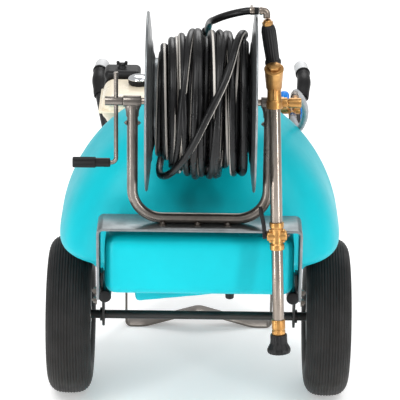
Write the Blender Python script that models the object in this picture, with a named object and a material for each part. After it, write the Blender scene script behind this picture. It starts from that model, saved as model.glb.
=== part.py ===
"""Wheeled petrol-engine trolley sprayer: tank, frame, hose reel, spray lance, engine and pump.

Frame: metres, +Z up, -Y is the reel end, +Y the handle end, +X the lance side.
The origin is the bottom centre of the trolley's bounding box, on the ground.
"""
import math

import bmesh
import bpy
import numpy as np
from mathutils import Matrix, Vector

# ---------------------------------------------------------------- driving dimensions
GAP = 0.0003            # clearance between pieces that touch
RUN = 0.0004            # extra radius of a hole over the pin that turns in it

AXLE_Y = -0.1013        # wheel axle, in front of the box's middle
TYRE_R = 0.200
TYRE_W = 0.112
RIM_R = 0.1005          # bead seat
RIM_W = 0.082
HUB_R = 0.0240
HUB_LENGTH = 0.090
AXLE_R = 0.011
WHEEL_SPACE = 0.034     # hanger plate to hub end
WHEEL_STEPS = 24        # facets round a wheel, the same on tyre and rim

RAIL_X = 0.222          # centre line of a frame rail
RAIL_R = 0.015
TUBE_WALL = 0.002
RAIL_UNDER_TYRE_TOP = 0.002
RAIL_FRONT = 0.360      # distances "front" are forward of the axle
RAIL_BEND = -0.440
HANDLE_REACH = -0.778
HANDLE_RISE = 0.228     # handle end above the rail
HANDLE_SPREAD = 0.055
GRIP_LENGTH = 0.130
GRIP_WALL = 0.0035

PLATE = 0.006           # hangers, tabs and bracket
HANGER_DROP = 0.030
CROSS_BACK = 0.290      # cross tube behind the axle
PLATFORM_FRONT = -0.335
PLATFORM_BACK = -0.560
PLATFORM_THICK = 0.005
STAND_FRONT = -0.390
STAND_WIDTH = 0.050
STAND_THICK = 0.005
STAND_ARCH = 0.042

TANK_HALF_WIDTH = 0.343
TANK_HALF_LENGTH = 0.310
TANK_HEIGHT = 0.3565
TANK_WALL = 0.005
BELLY = 0.0565          # height of the sloping underside
FRONT_CORNER = 4.5      # how square the front corners are, from 2 for an ellipse
BACK_CORNER = 3.0
NOSE_FRONT = 0.400
NOSE_HALF_WIDTH = 0.222
NOSE_HEIGHT = 0.146
FOOT_HALF_WIDTH = 0.253
FOOT_FRONT = 0.255
FOOT_BACK = -0.215
FOOT_HEIGHT = 0.056
SUMP_DEPTH = 0.078
NECK_R = 0.060
NECK_FRONT = -0.090
NECK_RISE = 0.018
LID_R = 0.072

BRACKET_RISE = 0.191    # top of the bracket plate above the rail's centre line
BRACKET_FRONT = 0.420
BRACKET_BACK = 0.318
BRACKET_BEND = 0.012

REEL_FRONT = 0.375
REEL_RISE = 0.296       # reel axis above the bracket plate
REEL_TUBE_R = 0.0125
REEL_TUBE_X = 0.157
REEL_BEND = 0.070
BEARING_R = 0.0130
BEARING_LENGTH = 0.041
SHAFT_R = 0.0080
FLANGE_R = 0.2065
FLANGE_X = 0.1060       # inner face beside the drum
FLANGE_FLARE = 0.0160
SHEET = 0.0015
DRUM_R = 0.100
PACK_R = 0.177
HOSE_R = 0.0085

CRANK_X = -0.1945
CRANK_DOWN = 0.149
CRANK_UP = 0.067
CRANK_ROD_R = 0.0050
CRANK_GRIP_R = 0.0125
CRANK_GRIP_LENGTH = 0.087

LANCE_TUBE_R = 0.0138
LANCE_TOP = Vector((0.1635, 0.405, 0.960))      # across, front, up
LANCE_TIP = Vector((0.1880, 0.481, 0.310))
LANCE_HOOK = Vector((0.1278, 0.380, 1.103))
HEAD_TILT = math.radians(30)
NOZZLE_LENGTH = 0.045
COLLAR_LENGTH = 0.035
LOWER_TUBE_LENGTH = 0.167
VALVE_LENGTH = 0.065
VALVE_BARREL = 0.046
UPPER_TUBE_LENGTH = 0.265

FEED_HOSE_R = 0.0080
SUCTION_HOSE_R = 0.0100

# ---------------------------------------------------------------- derived levels
AXLE_Z = TYRE_R
RAIL_Z = AXLE_Z + TYRE_R - RAIL_UNDER_TYRE_TOP
HANGER_X = RAIL_X + RAIL_R + GAP
WHEEL_X = HANGER_X + PLATE + WHEEL_SPACE + HUB_LENGTH / 2
PLATFORM_TOP = RAIL_Z + 0.0025
TANK_BOTTOM = RAIL_Z + RAIL_R + GAP
TANK_TOP = TANK_BOTTOM + TANK_HEIGHT
TANK_WIDEST = TANK_BOTTOM + BELLY
BRACKET_TOP = RAIL_Z + BRACKET_RISE
REEL_TUBE_Z = BRACKET_TOP + GAP + REEL_TUBE_R
REEL_Z = BRACKET_TOP + REEL_RISE
BEARING_X = REEL_TUBE_X - 0.020


def place(across, front, up):
    """World position of a point given by its distance across, forward of the axle, and up."""
    return Vector((across, AXLE_Y - front, up))


REEL_AXIS = place(0, REEL_FRONT, REEL_Z)
DRAWN_REEL_Z = 0.885    # reel height at which the lance and hose routes are drawn
REEL_SHIFT = Vector((0, 0, REEL_Z - DRAWN_REEL_Z))     # keeps the lance hung on the reel
LANCE_AXIS_TOP = place(*LANCE_TOP) + REEL_SHIFT
LANCE_AXIS_TIP = place(*LANCE_TIP) + REEL_SHIFT
LANCE_PIVOT = place(*LANCE_HOOK) + REEL_SHIFT

ENGINE_X = -0.195       # recoil side of the crankcase
ENGINE_FRONT = -0.375
PUMP_X = 0.0203         # pump's engine side
ENGINE_Y = AXLE_Y - ENGINE_FRONT
SHAFT_Y = ENGINE_Y + 0.070
SHAFT_Z = PLATFORM_TOP + 0.106
FUEL_Z = PLATFORM_TOP + 0.176
MANIFOLD_Z = PLATFORM_TOP + 0.206
INLET = Vector((0.240, SHAFT_Y - 0.045, MANIFOLD_Z))

# ---------------------------------------------------------------- finishes
FINISHES = {
    "tank_plastic": ((0.010, 0.530, 0.600), 0.40, 0.0),
    "black_paint": ((0.012, 0.012, 0.013), 0.40, 0.0),
    "zinc_steel": ((0.450, 0.450, 0.440), 0.35, 0.9),
    "polished_steel": ((0.620, 0.590, 0.560), 0.22, 1.0),
    "brass": ((0.560, 0.330, 0.110), 0.35, 1.0),
    "tyre_rubber": ((0.025, 0.025, 0.026), 0.75, 0.0),
    "wheel_paint": ((0.500, 0.500, 0.500), 0.40, 0.0),
    "hose_rubber": ((0.015, 0.015, 0.016), 0.45, 0.0),
    "feed_hose": ((0.300, 0.300, 0.300), 0.50, 0.0),
    "black_plastic": ((0.015, 0.015, 0.015), 0.50, 0.0),
    "cream_paint": ((0.770, 0.700, 0.560), 0.35, 0.0),
    "cast_aluminium": ((0.400, 0.400, 0.390), 0.50, 0.9),
    "red_paint": ((0.450, 0.020, 0.015), 0.40, 0.0),
    "chrome": ((0.700, 0.700, 0.700), 0.10, 1.0),
    "blue_plastic": ((0.003, 0.250, 0.800), 0.40, 0.0),
}
SHARP = math.radians(38)


def material(finish):
    """The Principled material of a finish, made once."""
    if finish in bpy.data.materials:
        return bpy.data.materials[finish]
    colour, roughness, metallic = FINISHES[finish]
    made = bpy.data.materials.new(finish)
    made.use_nodes = True
    shader = made.node_tree.nodes["Principled BSDF"]
    shader.inputs["Base Color"].default_value = (*colour, 1.0)
    shader.inputs["Roughness"].default_value = roughness
    shader.inputs["Metallic"].default_value = metallic
    return made


# ---------------------------------------------------------------- modelling helpers
def piece(name, shape, finish, origin=(0, 0, 0)):
    """Make one named object of a bmesh in world space, with its origin at the given point."""
    bmesh.ops.recalc_face_normals(shape, faces=shape.faces)
    bmesh.ops.translate(shape, vec=-Vector(origin), verts=shape.verts)
    mesh = bpy.data.meshes.new(name)
    shape.to_mesh(mesh)
    shape.free()
    mesh.shade_smooth()
    mesh.set_sharp_from_angle(angle=SHARP)
    made = bpy.data.objects.new(name, mesh)
    made.location = origin
    mesh.materials.append(material(finish))
    bpy.context.scene.collection.objects.link(made)
    return made


def combine(base, operation, name, shape):
    """Unite a shape with an object, or cut it away, by a live Boolean."""
    tool = piece(name, shape, "black_paint")
    tool.hide_render = True
    tool.display_type = "WIRE"
    boolean = base.modifiers.new(name, "BOOLEAN")
    boolean.operation = operation
    boolean.solver = "EXACT"
    boolean.object = tool


def ring_faces(shape, rings, wrap=False):
    """Bridge rings of vertices one after another, and the last to the first when wrapped."""
    pairs = list(zip(rings, rings[1:]))
    if wrap:
        pairs.append((rings[-1], rings[0]))
    for a, b in pairs:
        count = max(len(a), len(b))
        for i in range(count):
            j = (i + 1) % count
            corners = [a[i % len(a)], a[j % len(a)], b[j % len(b)], b[i % len(b)]]
            shape.faces.new(list(dict.fromkeys(corners)))


def turned(profile, centre, axis="X", steps=28, frame=None):
    """Revolve (along, radius) points about an axis. Ends at radius 0 close it; else it is a ring."""
    shape = bmesh.new()
    turn = {"X": Matrix.Rotation(math.pi / 2, 4, "Y"),
            "Y": Matrix.Rotation(-math.pi / 2, 4, "X"),
            "Z": Matrix.Identity(4)}[axis]
    matrix = (frame or Matrix.Identity(4)) @ Matrix.Translation(centre) @ turn
    rings = []
    for along, radius in profile:
        if radius == 0:
            rings.append([shape.verts.new((0, 0, along))])
            continue
        angles = [2 * math.pi * i / steps for i in range(steps)]
        rings.append([shape.verts.new((radius * math.cos(a), radius * math.sin(a), along))
                      for a in angles])
    ring_faces(shape, rings, wrap=profile[0][1] > 0)
    shape.transform(matrix)
    return shape


def block(low, high, bevel=0.0, segments=2, frame=None):
    """A box between two corners, with all its edges rounded by the bevel."""
    low, high = Vector(low), Vector(high)
    shape = bmesh.new()
    bmesh.ops.create_cube(shape, size=1.0)
    bmesh.ops.scale(shape, vec=high - low, verts=shape.verts)
    bmesh.ops.translate(shape, vec=(low + high) / 2, verts=shape.verts)
    if bevel:
        bmesh.ops.bevel(shape, geom=shape.edges[:], offset=bevel, segments=segments,
                        profile=0.5, affect="EDGES")
    if frame:
        shape.transform(frame)
    return shape


def extruded(outline, axis, low, high):
    """Extrude a 2-D outline along an axis; its two numbers are the other two axes, in order."""
    shape = bmesh.new()
    rings = []
    for level in (low, high):
        ring = []
        for u, v in outline:
            corner = {"X": (level, u, v), "Y": (u, level, v), "Z": (u, v, level)}[axis]
            ring.append(shape.verts.new(corner))
        rings.append(ring)
    ring_faces(shape, rings)
    for ring in rings:
        shape.faces.new(ring)
    return shape


def rounded(points, radius, steps=5):
    """A polyline with each inner corner replaced by an arc of the given radius."""
    points = [Vector(p) for p in points]
    path = [points[0]]
    for before, corner, after in zip(points, points[1:], points[2:]):
        inward, outward = (before - corner).normalized(), (after - corner).normalized()
        half = inward.angle(outward) / 2
        reach = radius / math.tan(half)
        middle = corner + (inward + outward).normalized() * radius / math.sin(half)
        first, last = corner + inward * reach - middle, corner + outward * reach - middle
        sweep = first.angle(last)
        for i in range(steps + 1):
            start_part = math.sin(sweep * (1 - i / steps)) / math.sin(sweep)
            end_part = math.sin(sweep * i / steps) / math.sin(sweep)
            path.append(middle + first * start_part + last * end_part)
    path.append(points[-1])
    return path


def strip(points, thickness):
    """The closed outline of a bent flat bar that follows a 2-D centre line."""
    left, right = [], []
    for i, point in enumerate(points):
        before = points[max(i - 1, 0)]
        after = points[min(i + 1, len(points) - 1)]
        along = (after - before).normalized()
        side = Vector((-along.y, along.x)) * thickness / 2
        left.append(point + side)
        right.append(point - side)
    return [tuple(p) for p in left + right[::-1]]


def smooth_path(points, step):
    """Points about a step apart on a Catmull-Rom curve through the given points."""
    points = [Vector(p) for p in points]
    points = [2 * points[0] - points[1], *points, 2 * points[-1] - points[-2]]
    path = []
    for a, b, c, d in zip(points, points[1:], points[2:], points[3:]):
        count = max(1, round((c - b).length / step))
        for i in range(count):
            t = i / count
            path.append(0.5 * (2 * b + (c - a) * t + (2 * a - 5 * b + 4 * c - d) * t * t
                               + (3 * b - a - 3 * c + d) * t ** 3))
    path.append(points[-2])
    return path


def swept(path, radius, bore=0.0, sides=12):
    """A tube along a path, hollow when it has a bore."""
    shape = bmesh.new()
    side = Vector((0, 1, 0)) if abs((path[1] - path[0]).normalized().y) < 0.9 else Vector((1, 0, 0))
    outer, inner = [], []
    for i, point in enumerate(path):
        along = (path[min(i + 1, len(path) - 1)] - path[max(i - 1, 0)]).normalized()
        side = (side - along * side.dot(along)).normalized()
        other = along.cross(side)
        for rings, size in ((outer, radius), (inner, bore)):
            ring = []
            for k in range(sides if size else 0):
                angle = 2 * math.pi * (k + 0.5) / sides
                ring.append(shape.verts.new(point + size * (side * math.cos(angle)
                                                            + other * math.sin(angle))))
            rings.append(ring)
    if bore:
        ring_faces(shape, outer + inner[::-1], wrap=True)
    else:
        ring_faces(shape, outer)
        shape.faces.new(outer[0])
        shape.faces.new(outer[-1])
    return shape


def mirrored(sign, points):
    """The points with their across value on the given side."""
    return [Vector((sign * p[0], *p[1:])) for p in points]


# ---------------------------------------------------------------- frame
def rail_path(sign):
    """Centre line of a rail: level under the tank, then up and outward to the handle."""
    rise, spread = HANDLE_RISE, HANDLE_SPREAD
    level = [(0, RAIL_FRONT, 0), (0, RAIL_BEND, 0)]
    handle = [(0.12 * spread, RAIL_BEND - 0.060, 0.10 * rise),
              (0.68 * spread, RAIL_BEND - 0.165, 0.53 * rise),
              (1.05 * spread, RAIL_BEND - 0.245, 0.83 * rise),
              (1.08 * spread, RAIL_BEND - 0.290, 0.93 * rise),
              (0.95 * spread, HANDLE_REACH, rise)]
    points = [place(RAIL_X + x, front, RAIL_Z + z) for x, front, z in handle]
    straight = [place(RAIL_X + x, front, RAIL_Z + z) for x, front, z in level]
    return mirrored(sign, straight[:1] + smooth_path([straight[1], *points], 0.045))


def path_end(path, length):
    """The last stretch of a path, of about the given length."""
    kept = [path[-1]]
    for point in path[-2::-1]:
        kept.append(point)
        if (point - path[-1]).length >= length:
            break
    return kept[::-1]


def build_frame():
    for sign, side in ((-1, "left"), (1, "right")):
        path = rail_path(sign)
        rail = piece(f"rail_{side}", swept(path, RAIL_R, RAIL_R - TUBE_WALL, 10), "black_paint")
        tab_x = sorted((sign * (HANGER_X - PLATE - 0.0045), sign * (HANGER_X - 0.0045)))
        tab = block((tab_x[0], AXLE_Y - BRACKET_FRONT + 0.068, RAIL_Z + RAIL_R - 0.003),
                    (tab_x[1], AXLE_Y - BRACKET_BACK, RAIL_Z + 0.055))
        combine(rail, "UNION", f"tab_{side}", tab)
        grip = swept(path_end(path, GRIP_LENGTH), RAIL_R + GRIP_WALL, RAIL_R + 5 * GAP, 10)
        piece(f"handle_grip_{side}", grip, "black_plastic")

        low_x = sign * HANGER_X
        high_x = sign * (HANGER_X + PLATE)
        bottom = AXLE_Z - HANGER_DROP
        width = 0.026
        outline = [(AXLE_Y - 0.045, RAIL_Z), (AXLE_Y - width, AXLE_Z)]
        outline += [(AXLE_Y - width * math.cos(a), AXLE_Z - (AXLE_Z - bottom) * math.sin(a))
                    for a in np.linspace(0.2, math.pi - 0.2, 9)]
        outline += [(AXLE_Y + width, AXLE_Z), (AXLE_Y + 0.045, RAIL_Z)]
        hanger = piece(f"hanger_{side}", extruded(outline, "X", low_x, high_x), "black_paint")
        hole = turned([(-0.02, 0), (-0.02, AXLE_R + RUN), (0.02, AXLE_R + RUN), (0.02, 0)],
                      (low_x, AXLE_Y, AXLE_Z))
        combine(hanger, "DIFFERENCE", f"hanger_hole_{side}", hole)

    axle_half = WHEEL_X + HUB_LENGTH / 2 + 0.002
    piece("axle", turned([(-axle_half, 0), (-axle_half, AXLE_R), (axle_half, AXLE_R),
                          (axle_half, 0)], (0, AXLE_Y, AXLE_Z)), "black_paint")
    inner = RAIL_X - RAIL_R - GAP
    cross = [Vector((-inner, AXLE_Y + CROSS_BACK, RAIL_Z)), Vector((inner, AXLE_Y + CROSS_BACK, RAIL_Z))]
    piece("cross_tube", swept(cross, 0.0125, 0.0105), "black_paint")
    piece("engine_platform",
          block((-inner, AXLE_Y - PLATFORM_FRONT, PLATFORM_TOP - PLATFORM_THICK),
                (inner, AXLE_Y - PLATFORM_BACK, PLATFORM_TOP)), "black_paint")
    build_stand(inner)


def build_stand(inner):
    """One flat bar bent to two legs and an arched foot, with a flat toe at each corner."""
    leg = inner - 0.0105
    half = STAND_THICK / 2
    top = PLATFORM_TOP - PLATFORM_THICK - GAP
    corners = [(-leg, top), (-leg, half), (-leg + 0.050, half), (0, STAND_ARCH + half),
               (leg - 0.050, half), (leg, half), (leg, top)]
    corners = [Vector((u, v)) for u, v in corners]
    back = AXLE_Y - STAND_FRONT
    outline = strip(rounded(corners, 0.010, 3), STAND_THICK)
    piece("stand", extruded(outline, "Y", back, back + STAND_WIDTH), "zinc_steel")


# ---------------------------------------------------------------- wheels
def build_wheels():
    half = RIM_W / 2
    lip = half + 0.005
    bead = RIM_R + GAP
    wide = TYRE_W / 2
    tread = TYRE_R
    tyre = [(-half + GAP, bead), (-half + GAP, bead + 0.014), (-wide, bead + 0.046),
            (-0.90 * wide, tread - 0.021), (-0.50 * wide, tread - 0.0035), (0, tread),
            (0.50 * wide, tread - 0.0035), (0.90 * wide, tread - 0.021), (wide, bead + 0.046),
            (half - GAP, bead + 0.014), (half - GAP, bead), (half - 0.010, bead),
            (half - 0.004, bead + 0.035), (0.45 * wide, tread - 0.018),
            (-0.45 * wide, tread - 0.018), (0.004 - half, bead + 0.035), (0.010 - half, bead)]
    well = RIM_R - 0.0125
    rim = [(-lip, RIM_R + 0.0125), (-half - 0.002, RIM_R + 0.0125), (-half, RIM_R),
           (-0.020, RIM_R), (-0.014, well), (0.014, well), (0.020, RIM_R), (half, RIM_R),
           (half + 0.002, RIM_R + 0.0125), (lip, RIM_R + 0.0125), (lip - 0.002, RIM_R - 0.003),
           (0.016, well - 0.003), (0.0015, well - 0.003), (0.0015, HUB_R + GAP),
           (-0.0015, HUB_R + GAP), (-0.0015, well - 0.003), (-0.016, well - 0.003),
           (-lip + 0.002, RIM_R - 0.003)]
    bore = AXLE_R + RUN
    end = HUB_LENGTH / 2
    for sign, side in ((-1, "left"), (1, "right")):
        centre = Vector((sign * WHEEL_X, AXLE_Y, AXLE_Z))
        piece(f"tyre_{side}", turned(tyre, centre, steps=WHEEL_STEPS), "tyre_rubber", centre)
        piece(f"rim_{side}", turned(rim, centre, steps=WHEEL_STEPS), "wheel_paint", centre)
        face = 0.0015 + GAP
        hub = [(-end, bore), (-end, HUB_R), (face, HUB_R), (face, HUB_R + 0.020),
               (face + 0.004, HUB_R + 0.020), (face + 0.004, HUB_R), (end, HUB_R), (end, bore)]
        piece(f"hub_{side}", turned(hub, centre, steps=16), "wheel_paint", centre)


# ---------------------------------------------------------------- tank
def dome_share(up, power):
    """How much of its widest size the dome keeps at a height, from 1 down to 0 at the top."""
    share = min(max((up - TANK_WIDEST) / (TANK_TOP - TANK_WIDEST), 0.0), 1.0)
    return (1 - share ** power) ** (1 / 2.2)


def belly_share(up):
    """How much of its widest size the sloping underside has at a height."""
    share = min(max((up - TANK_BOTTOM) / BELLY, 0.0), 1.0)
    return 1 - 0.257 * (1 - share) ** 2


def tank_shell(inset, steps, levels):
    """The main tank body as level slices, each a rounded rectangle |x/a|^n + |y/b|^n = 1."""
    shape = bmesh.new()
    rings = []
    top = TANK_TOP - inset
    for up in levels:
        outer_up = TANK_BOTTOM + (up - TANK_BOTTOM - inset) * TANK_HEIGHT / (top - TANK_BOTTOM - inset)
        wide = TANK_HALF_WIDTH * dome_share(outer_up, 1.6) * belly_share(outer_up) - inset
        front = TANK_HALF_LENGTH * dome_share(outer_up, 1.6) * belly_share(outer_up) - inset
        back = TANK_HALF_LENGTH * dome_share(outer_up, 3.0) * belly_share(outer_up) - inset
        ring = []
        for i in range(steps):
            angle = 2 * math.pi * i / steps
            c, s = math.cos(angle), math.sin(angle)
            power, long = (2 / BACK_CORNER, back) if s > 0 else (2 / FRONT_CORNER, front)
            x = math.copysign(abs(c) ** power, c) * wide
            y = math.copysign(abs(s) ** power, s) * long
            ring.append(shape.verts.new((x, AXLE_Y + y, up)))
        rings.append(ring)
    ring_faces(shape, rings)
    shape.faces.new(rings[0])
    shape.faces.new(rings[-1])
    return shape


def shell_levels(inset, count):
    """Heights of the slices: close together at the belly and near the top."""
    low, high = TANK_BOTTOM + inset, TANK_TOP - inset
    belly = [low + (TANK_WIDEST - low) * share for share in (0.0, 0.25, 0.6)]
    dome = [TANK_WIDEST + (high - TANK_WIDEST) * math.sin(math.pi / 2 * i / count)
            for i in range(count)]
    dome[-1] = min(dome[-1], high - 0.004)
    return belly + dome + [high - 0.0015]


def nose(inset):
    """The box at the front that the bracket straddles."""
    half = NOSE_HALF_WIDTH - inset
    return block((-half, AXLE_Y - NOSE_FRONT + inset, TANK_BOTTOM + inset),
                 (half, AXLE_Y - 0.080, TANK_BOTTOM + NOSE_HEIGHT - inset), 0.022 - inset)


def foot(inset):
    """The square foot of the tank, which rests on the rails."""
    half = FOOT_HALF_WIDTH - inset
    return block((-half, AXLE_Y - FOOT_FRONT + inset, TANK_BOTTOM + inset),
                 (half, AXLE_Y - FOOT_BACK - inset, TANK_BOTTOM + FOOT_HEIGHT - inset), 0.018 - inset)


def sump(inset):
    """The drain sump between the rails, whose floor slopes down to one side."""
    top = TANK_BOTTOM + 0.020
    low = TANK_BOTTOM - SUMP_DEPTH + inset
    left, right = -0.155 + inset, 0.040 - inset
    outline = [(left, top), (left, low + 0.008), (left + 0.010, low), (right - 0.010, low + 0.015),
               (right, low + 0.024), (right, top)]
    return extruded(outline, "Y", AXLE_Y - 0.250 + inset, AXLE_Y - inset)


def build_tank():
    wall = TANK_WALL
    neck = place(0, NECK_FRONT, TANK_TOP)
    tank = piece("tank", tank_shell(0, 36, shell_levels(0, 10)), "tank_plastic")
    combine(tank, "UNION", "tank_nose", nose(0))
    combine(tank, "UNION", "tank_foot", foot(0))
    combine(tank, "UNION", "tank_sump", sump(0))
    combine(tank, "UNION", "tank_neck",
            turned([(-0.040, 0), (-0.040, NECK_R), (NECK_RISE, NECK_R), (NECK_RISE, 0)],
                   neck, "Z", 24))
    combine(tank, "DIFFERENCE", "tank_hollow", tank_shell(wall, 24, shell_levels(wall, 7)))
    combine(tank, "DIFFERENCE", "nose_hollow", nose(wall))
    combine(tank, "DIFFERENCE", "foot_hollow", foot(wall))
    combine(tank, "DIFFERENCE", "sump_hollow", sump(wall))
    bore = NECK_R - wall
    combine(tank, "DIFFERENCE", "neck_bore",
            turned([(-0.060, 0), (-0.060, bore), (NECK_RISE + 0.010, bore), (NECK_RISE + 0.010, 0)],
                   neck, "Z", 24))

    brim = NECK_RISE + GAP
    hung = bore - 0.002
    basket = [(-0.068, 0), (-0.068, hung - 0.008), (brim + 0.002, hung - 0.002),
              (brim + 0.002, NECK_R - 0.001), (brim, NECK_R - 0.001), (brim, hung),
              (-0.070, hung - 0.006), (-0.070, 0)]
    piece("filler_strainer", turned(basket, neck, "Z", 20), "black_plastic", neck)
    under = brim + 0.002 + GAP
    skirt = NECK_R + 5 * GAP
    lid = [(under, 0), (under, skirt), (NECK_RISE - 0.012, skirt), (NECK_RISE - 0.012, LID_R),
           (under + 0.004, LID_R), (under + 0.010, LID_R - 0.008), (under + 0.010, 0)]
    piece("tank_lid", turned(lid, neck, "Z", 24), "black_plastic", neck)

    plug = place(0.073, 0.330, TANK_BOTTOM - GAP)
    piece("drain_plug", turned([(0, 0), (0, 0.018), (-0.010, 0.018), (-0.022, 0.011),
                                (-0.030, 0.009), (-0.030, 0)], plug, "Z", steps=12),
          "black_plastic")


# ---------------------------------------------------------------- bracket, reel frame and reel
def build_bracket():
    leg = RAIL_X + RAIL_R - 0.001
    half = PLATE / 2
    bottom = RAIL_Z + RAIL_R - 0.0015
    corners = [(-leg, bottom), (-leg, BRACKET_TOP - half), (leg, BRACKET_TOP - half), (leg, bottom)]
    path = rounded([Vector((u, v)) for u, v in corners], BRACKET_BEND, 4)
    piece("bracket", extruded(strip(path, PLATE), "Y", AXLE_Y - BRACKET_FRONT,
                              AXLE_Y - BRACKET_BACK), "zinc_steel")

    y = AXLE_Y - REEL_FRONT
    top = REEL_Z - SHAFT_R - 0.003
    corners = [(-REEL_TUBE_X, y, top), (-REEL_TUBE_X, y, REEL_TUBE_Z),
               (REEL_TUBE_X, y, REEL_TUBE_Z), (REEL_TUBE_X, y, top)]
    frame = piece("reel_frame", swept(rounded(corners, REEL_BEND, 5), REEL_TUBE_R, sides=12),
                  "zinc_steel")
    for sign, side in ((-1, "left"), (1, "right")):
        start, end = sorted((sign * BEARING_X, sign * (BEARING_X + BEARING_LENGTH)))
        for label, operation, radius, spare in (("bearing", "UNION", BEARING_R, 0.0),
                                                ("bearing_bore", "DIFFERENCE", SHAFT_R + RUN, 0.01)):
            shape = turned([(start - spare, 0), (start - spare, radius), (end + spare, radius),
                            (end + spare, 0)], REEL_AXIS, steps=20)
            combine(frame, operation, f"{label}_{side}", shape)


def build_reel():
    flare = FLANGE_X + FLANGE_FLARE
    inner = [(FLANGE_X, SHAFT_R + GAP), (FLANGE_X, DRUM_R + 0.004), (FLANGE_X + 0.004, DRUM_R + 0.018),
             (FLANGE_X + 0.009, 0.165), (flare - 0.003, FLANGE_R - 0.008),
             (flare - 0.003, FLANGE_R - 0.001), (flare + 0.001, FLANGE_R)]
    outer = [(flare + 0.003, FLANGE_R - 0.002), (flare + 0.003, FLANGE_R - 0.007),
             (flare - 0.0005, FLANGE_R - 0.007), (FLANGE_X + 0.009 + SHEET, 0.165 - 0.0005),
             (FLANGE_X + 0.004 + SHEET, DRUM_R + 0.018 - 0.0005),
             (FLANGE_X + SHEET, DRUM_R + 0.0045), (FLANGE_X + SHEET, SHAFT_R + GAP)]
    for sign, side in ((-1, "left"), (1, "right")):
        profile = [(sign * along, radius) for along, radius in inner + outer]
        piece(f"reel_flange_{side}", turned(profile, REEL_AXIS, steps=28), "zinc_steel", REEL_AXIS)
    half = FLANGE_X - GAP
    piece("reel_drum", turned([(-half, DRUM_R - 0.002), (-half, DRUM_R), (half, DRUM_R),
                               (half, DRUM_R - 0.002)], REEL_AXIS, steps=28), "zinc_steel", REEL_AXIS)
    bearing_end = BEARING_X + BEARING_LENGTH
    left, right = -bearing_end - GAP, bearing_end + 0.019
    piece("reel_shaft", turned([(left, 0), (left, SHAFT_R), (right, SHAFT_R), (right, 0)],
                               REEL_AXIS, steps=24), "polished_steel", REEL_AXIS)
    half = FLANGE_X - 0.001
    pack = [(-half, DRUM_R + 0.0010), (-half, PACK_R - 0.020), (-half + 0.020, PACK_R),
            (half - 0.020, PACK_R), (half, PACK_R - 0.020), (half, DRUM_R + 0.0010)]
    piece("hose_pack", turned(pack, REEL_AXIS, steps=28), "hose_rubber", REEL_AXIS)
    build_crank(bearing_end)


def build_crank(bearing_end):
    hub_start, hub_end = -bearing_end - 2 * GAP, -bearing_end - 0.042
    arm = piece("crank_arm", turned([(hub_start, 0), (hub_start, 0.0105), (hub_end, 0.0105),
                                     (hub_end, 0)], REEL_AXIS, steps=20), "zinc_steel", REEL_AXIS)
    grip_z = REEL_Z - CRANK_DOWN
    y = REEL_AXIS.y
    pin_end = CRANK_X - 0.0135 - CRANK_GRIP_LENGTH + 0.006
    rod = rounded([(CRANK_X, y, REEL_Z + CRANK_UP), (CRANK_X, y, grip_z), (pin_end, y, grip_z)],
                  0.012, 4)
    rod.insert(1, Vector((CRANK_X, y, REEL_Z - 0.020)))
    tool = swept(rod, CRANK_ROD_R, sides=10)
    combine(arm, "UNION", "crank_rod", tool)

    near, far = CRANK_X - 0.0135, CRANK_X - 0.0135 - CRANK_GRIP_LENGTH
    bore = CRANK_ROD_R + RUN
    step = near - 0.38 * CRANK_GRIP_LENGTH
    grip = [(pin_end - 0.002, 0), (pin_end - 0.002, bore), (near, bore), (near, 0.0095),
            (near - 0.002, 0.0105), (step, 0.0105), (step - 0.0015, CRANK_GRIP_R),
            (far + 0.0015, CRANK_GRIP_R), (far, CRANK_GRIP_R - 0.0015), (far, 0)]
    centre = Vector((0, y, grip_z))
    piece("crank_grip", turned(grip, centre, steps=20), "black_plastic", (near, y, grip_z))


def build_feed():
    """Rotary joint at the reel's right end, with its outlet backward, and the hose to the pump."""
    start = BEARING_X + BEARING_LENGTH + 2 * GAP
    bore = SHAFT_R + RUN
    shaft_end = BEARING_X + BEARING_LENGTH + 0.019
    body = [(shaft_end + 0.001, 0), (shaft_end + 0.001, bore), (start, bore), (start, 0.0125),
            (start + 0.018, 0.0125), (start + 0.018, 0.0095), (start + 0.021, 0.0095),
            (start + 0.021, 0.0115), (start + 0.050, 0.0115), (start + 0.050, 0)]
    swivel = piece("swivel_joint", turned(body, REEL_AXIS, steps=16), "brass")
    out_x = start + 0.037
    outlet_end = 0.034
    outlet = turned([(0.004, 0), (0.004, 0.009), (outlet_end, 0.009), (outlet_end, 0)],
                    (out_x, REEL_AXIS.y, REEL_Z), "Y", steps=16)
    combine(swivel, "UNION", "swivel_outlet", outlet)

    front = REEL_FRONT - outlet_end - GAP
    drop = REEL_SHIFT.z
    route = [(out_x, front, DRAWN_REEL_Z), (out_x, front - 0.020, DRAWN_REEL_Z),
             (0.222, 0.240, 0.868), (0.238, 0.150, 0.826), (0.252, 0.050, 0.772),
             (0.258, -0.050, 0.720), (0.258, -0.150, 0.668), (0.252, -0.250, 0.618)]
    points = [place(x, f, z + drop) for x, f, z in route]
    inlet = INLET + Vector((0, -2 * GAP, 0))
    points += [inlet + Vector((0.003, -0.070, 0.004)), inlet + Vector((0, -0.025, 0)), inlet]
    piece("feed_hose", swept(smooth_path(points, 0.040), FEED_HOSE_R, sides=8), "feed_hose")


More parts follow.
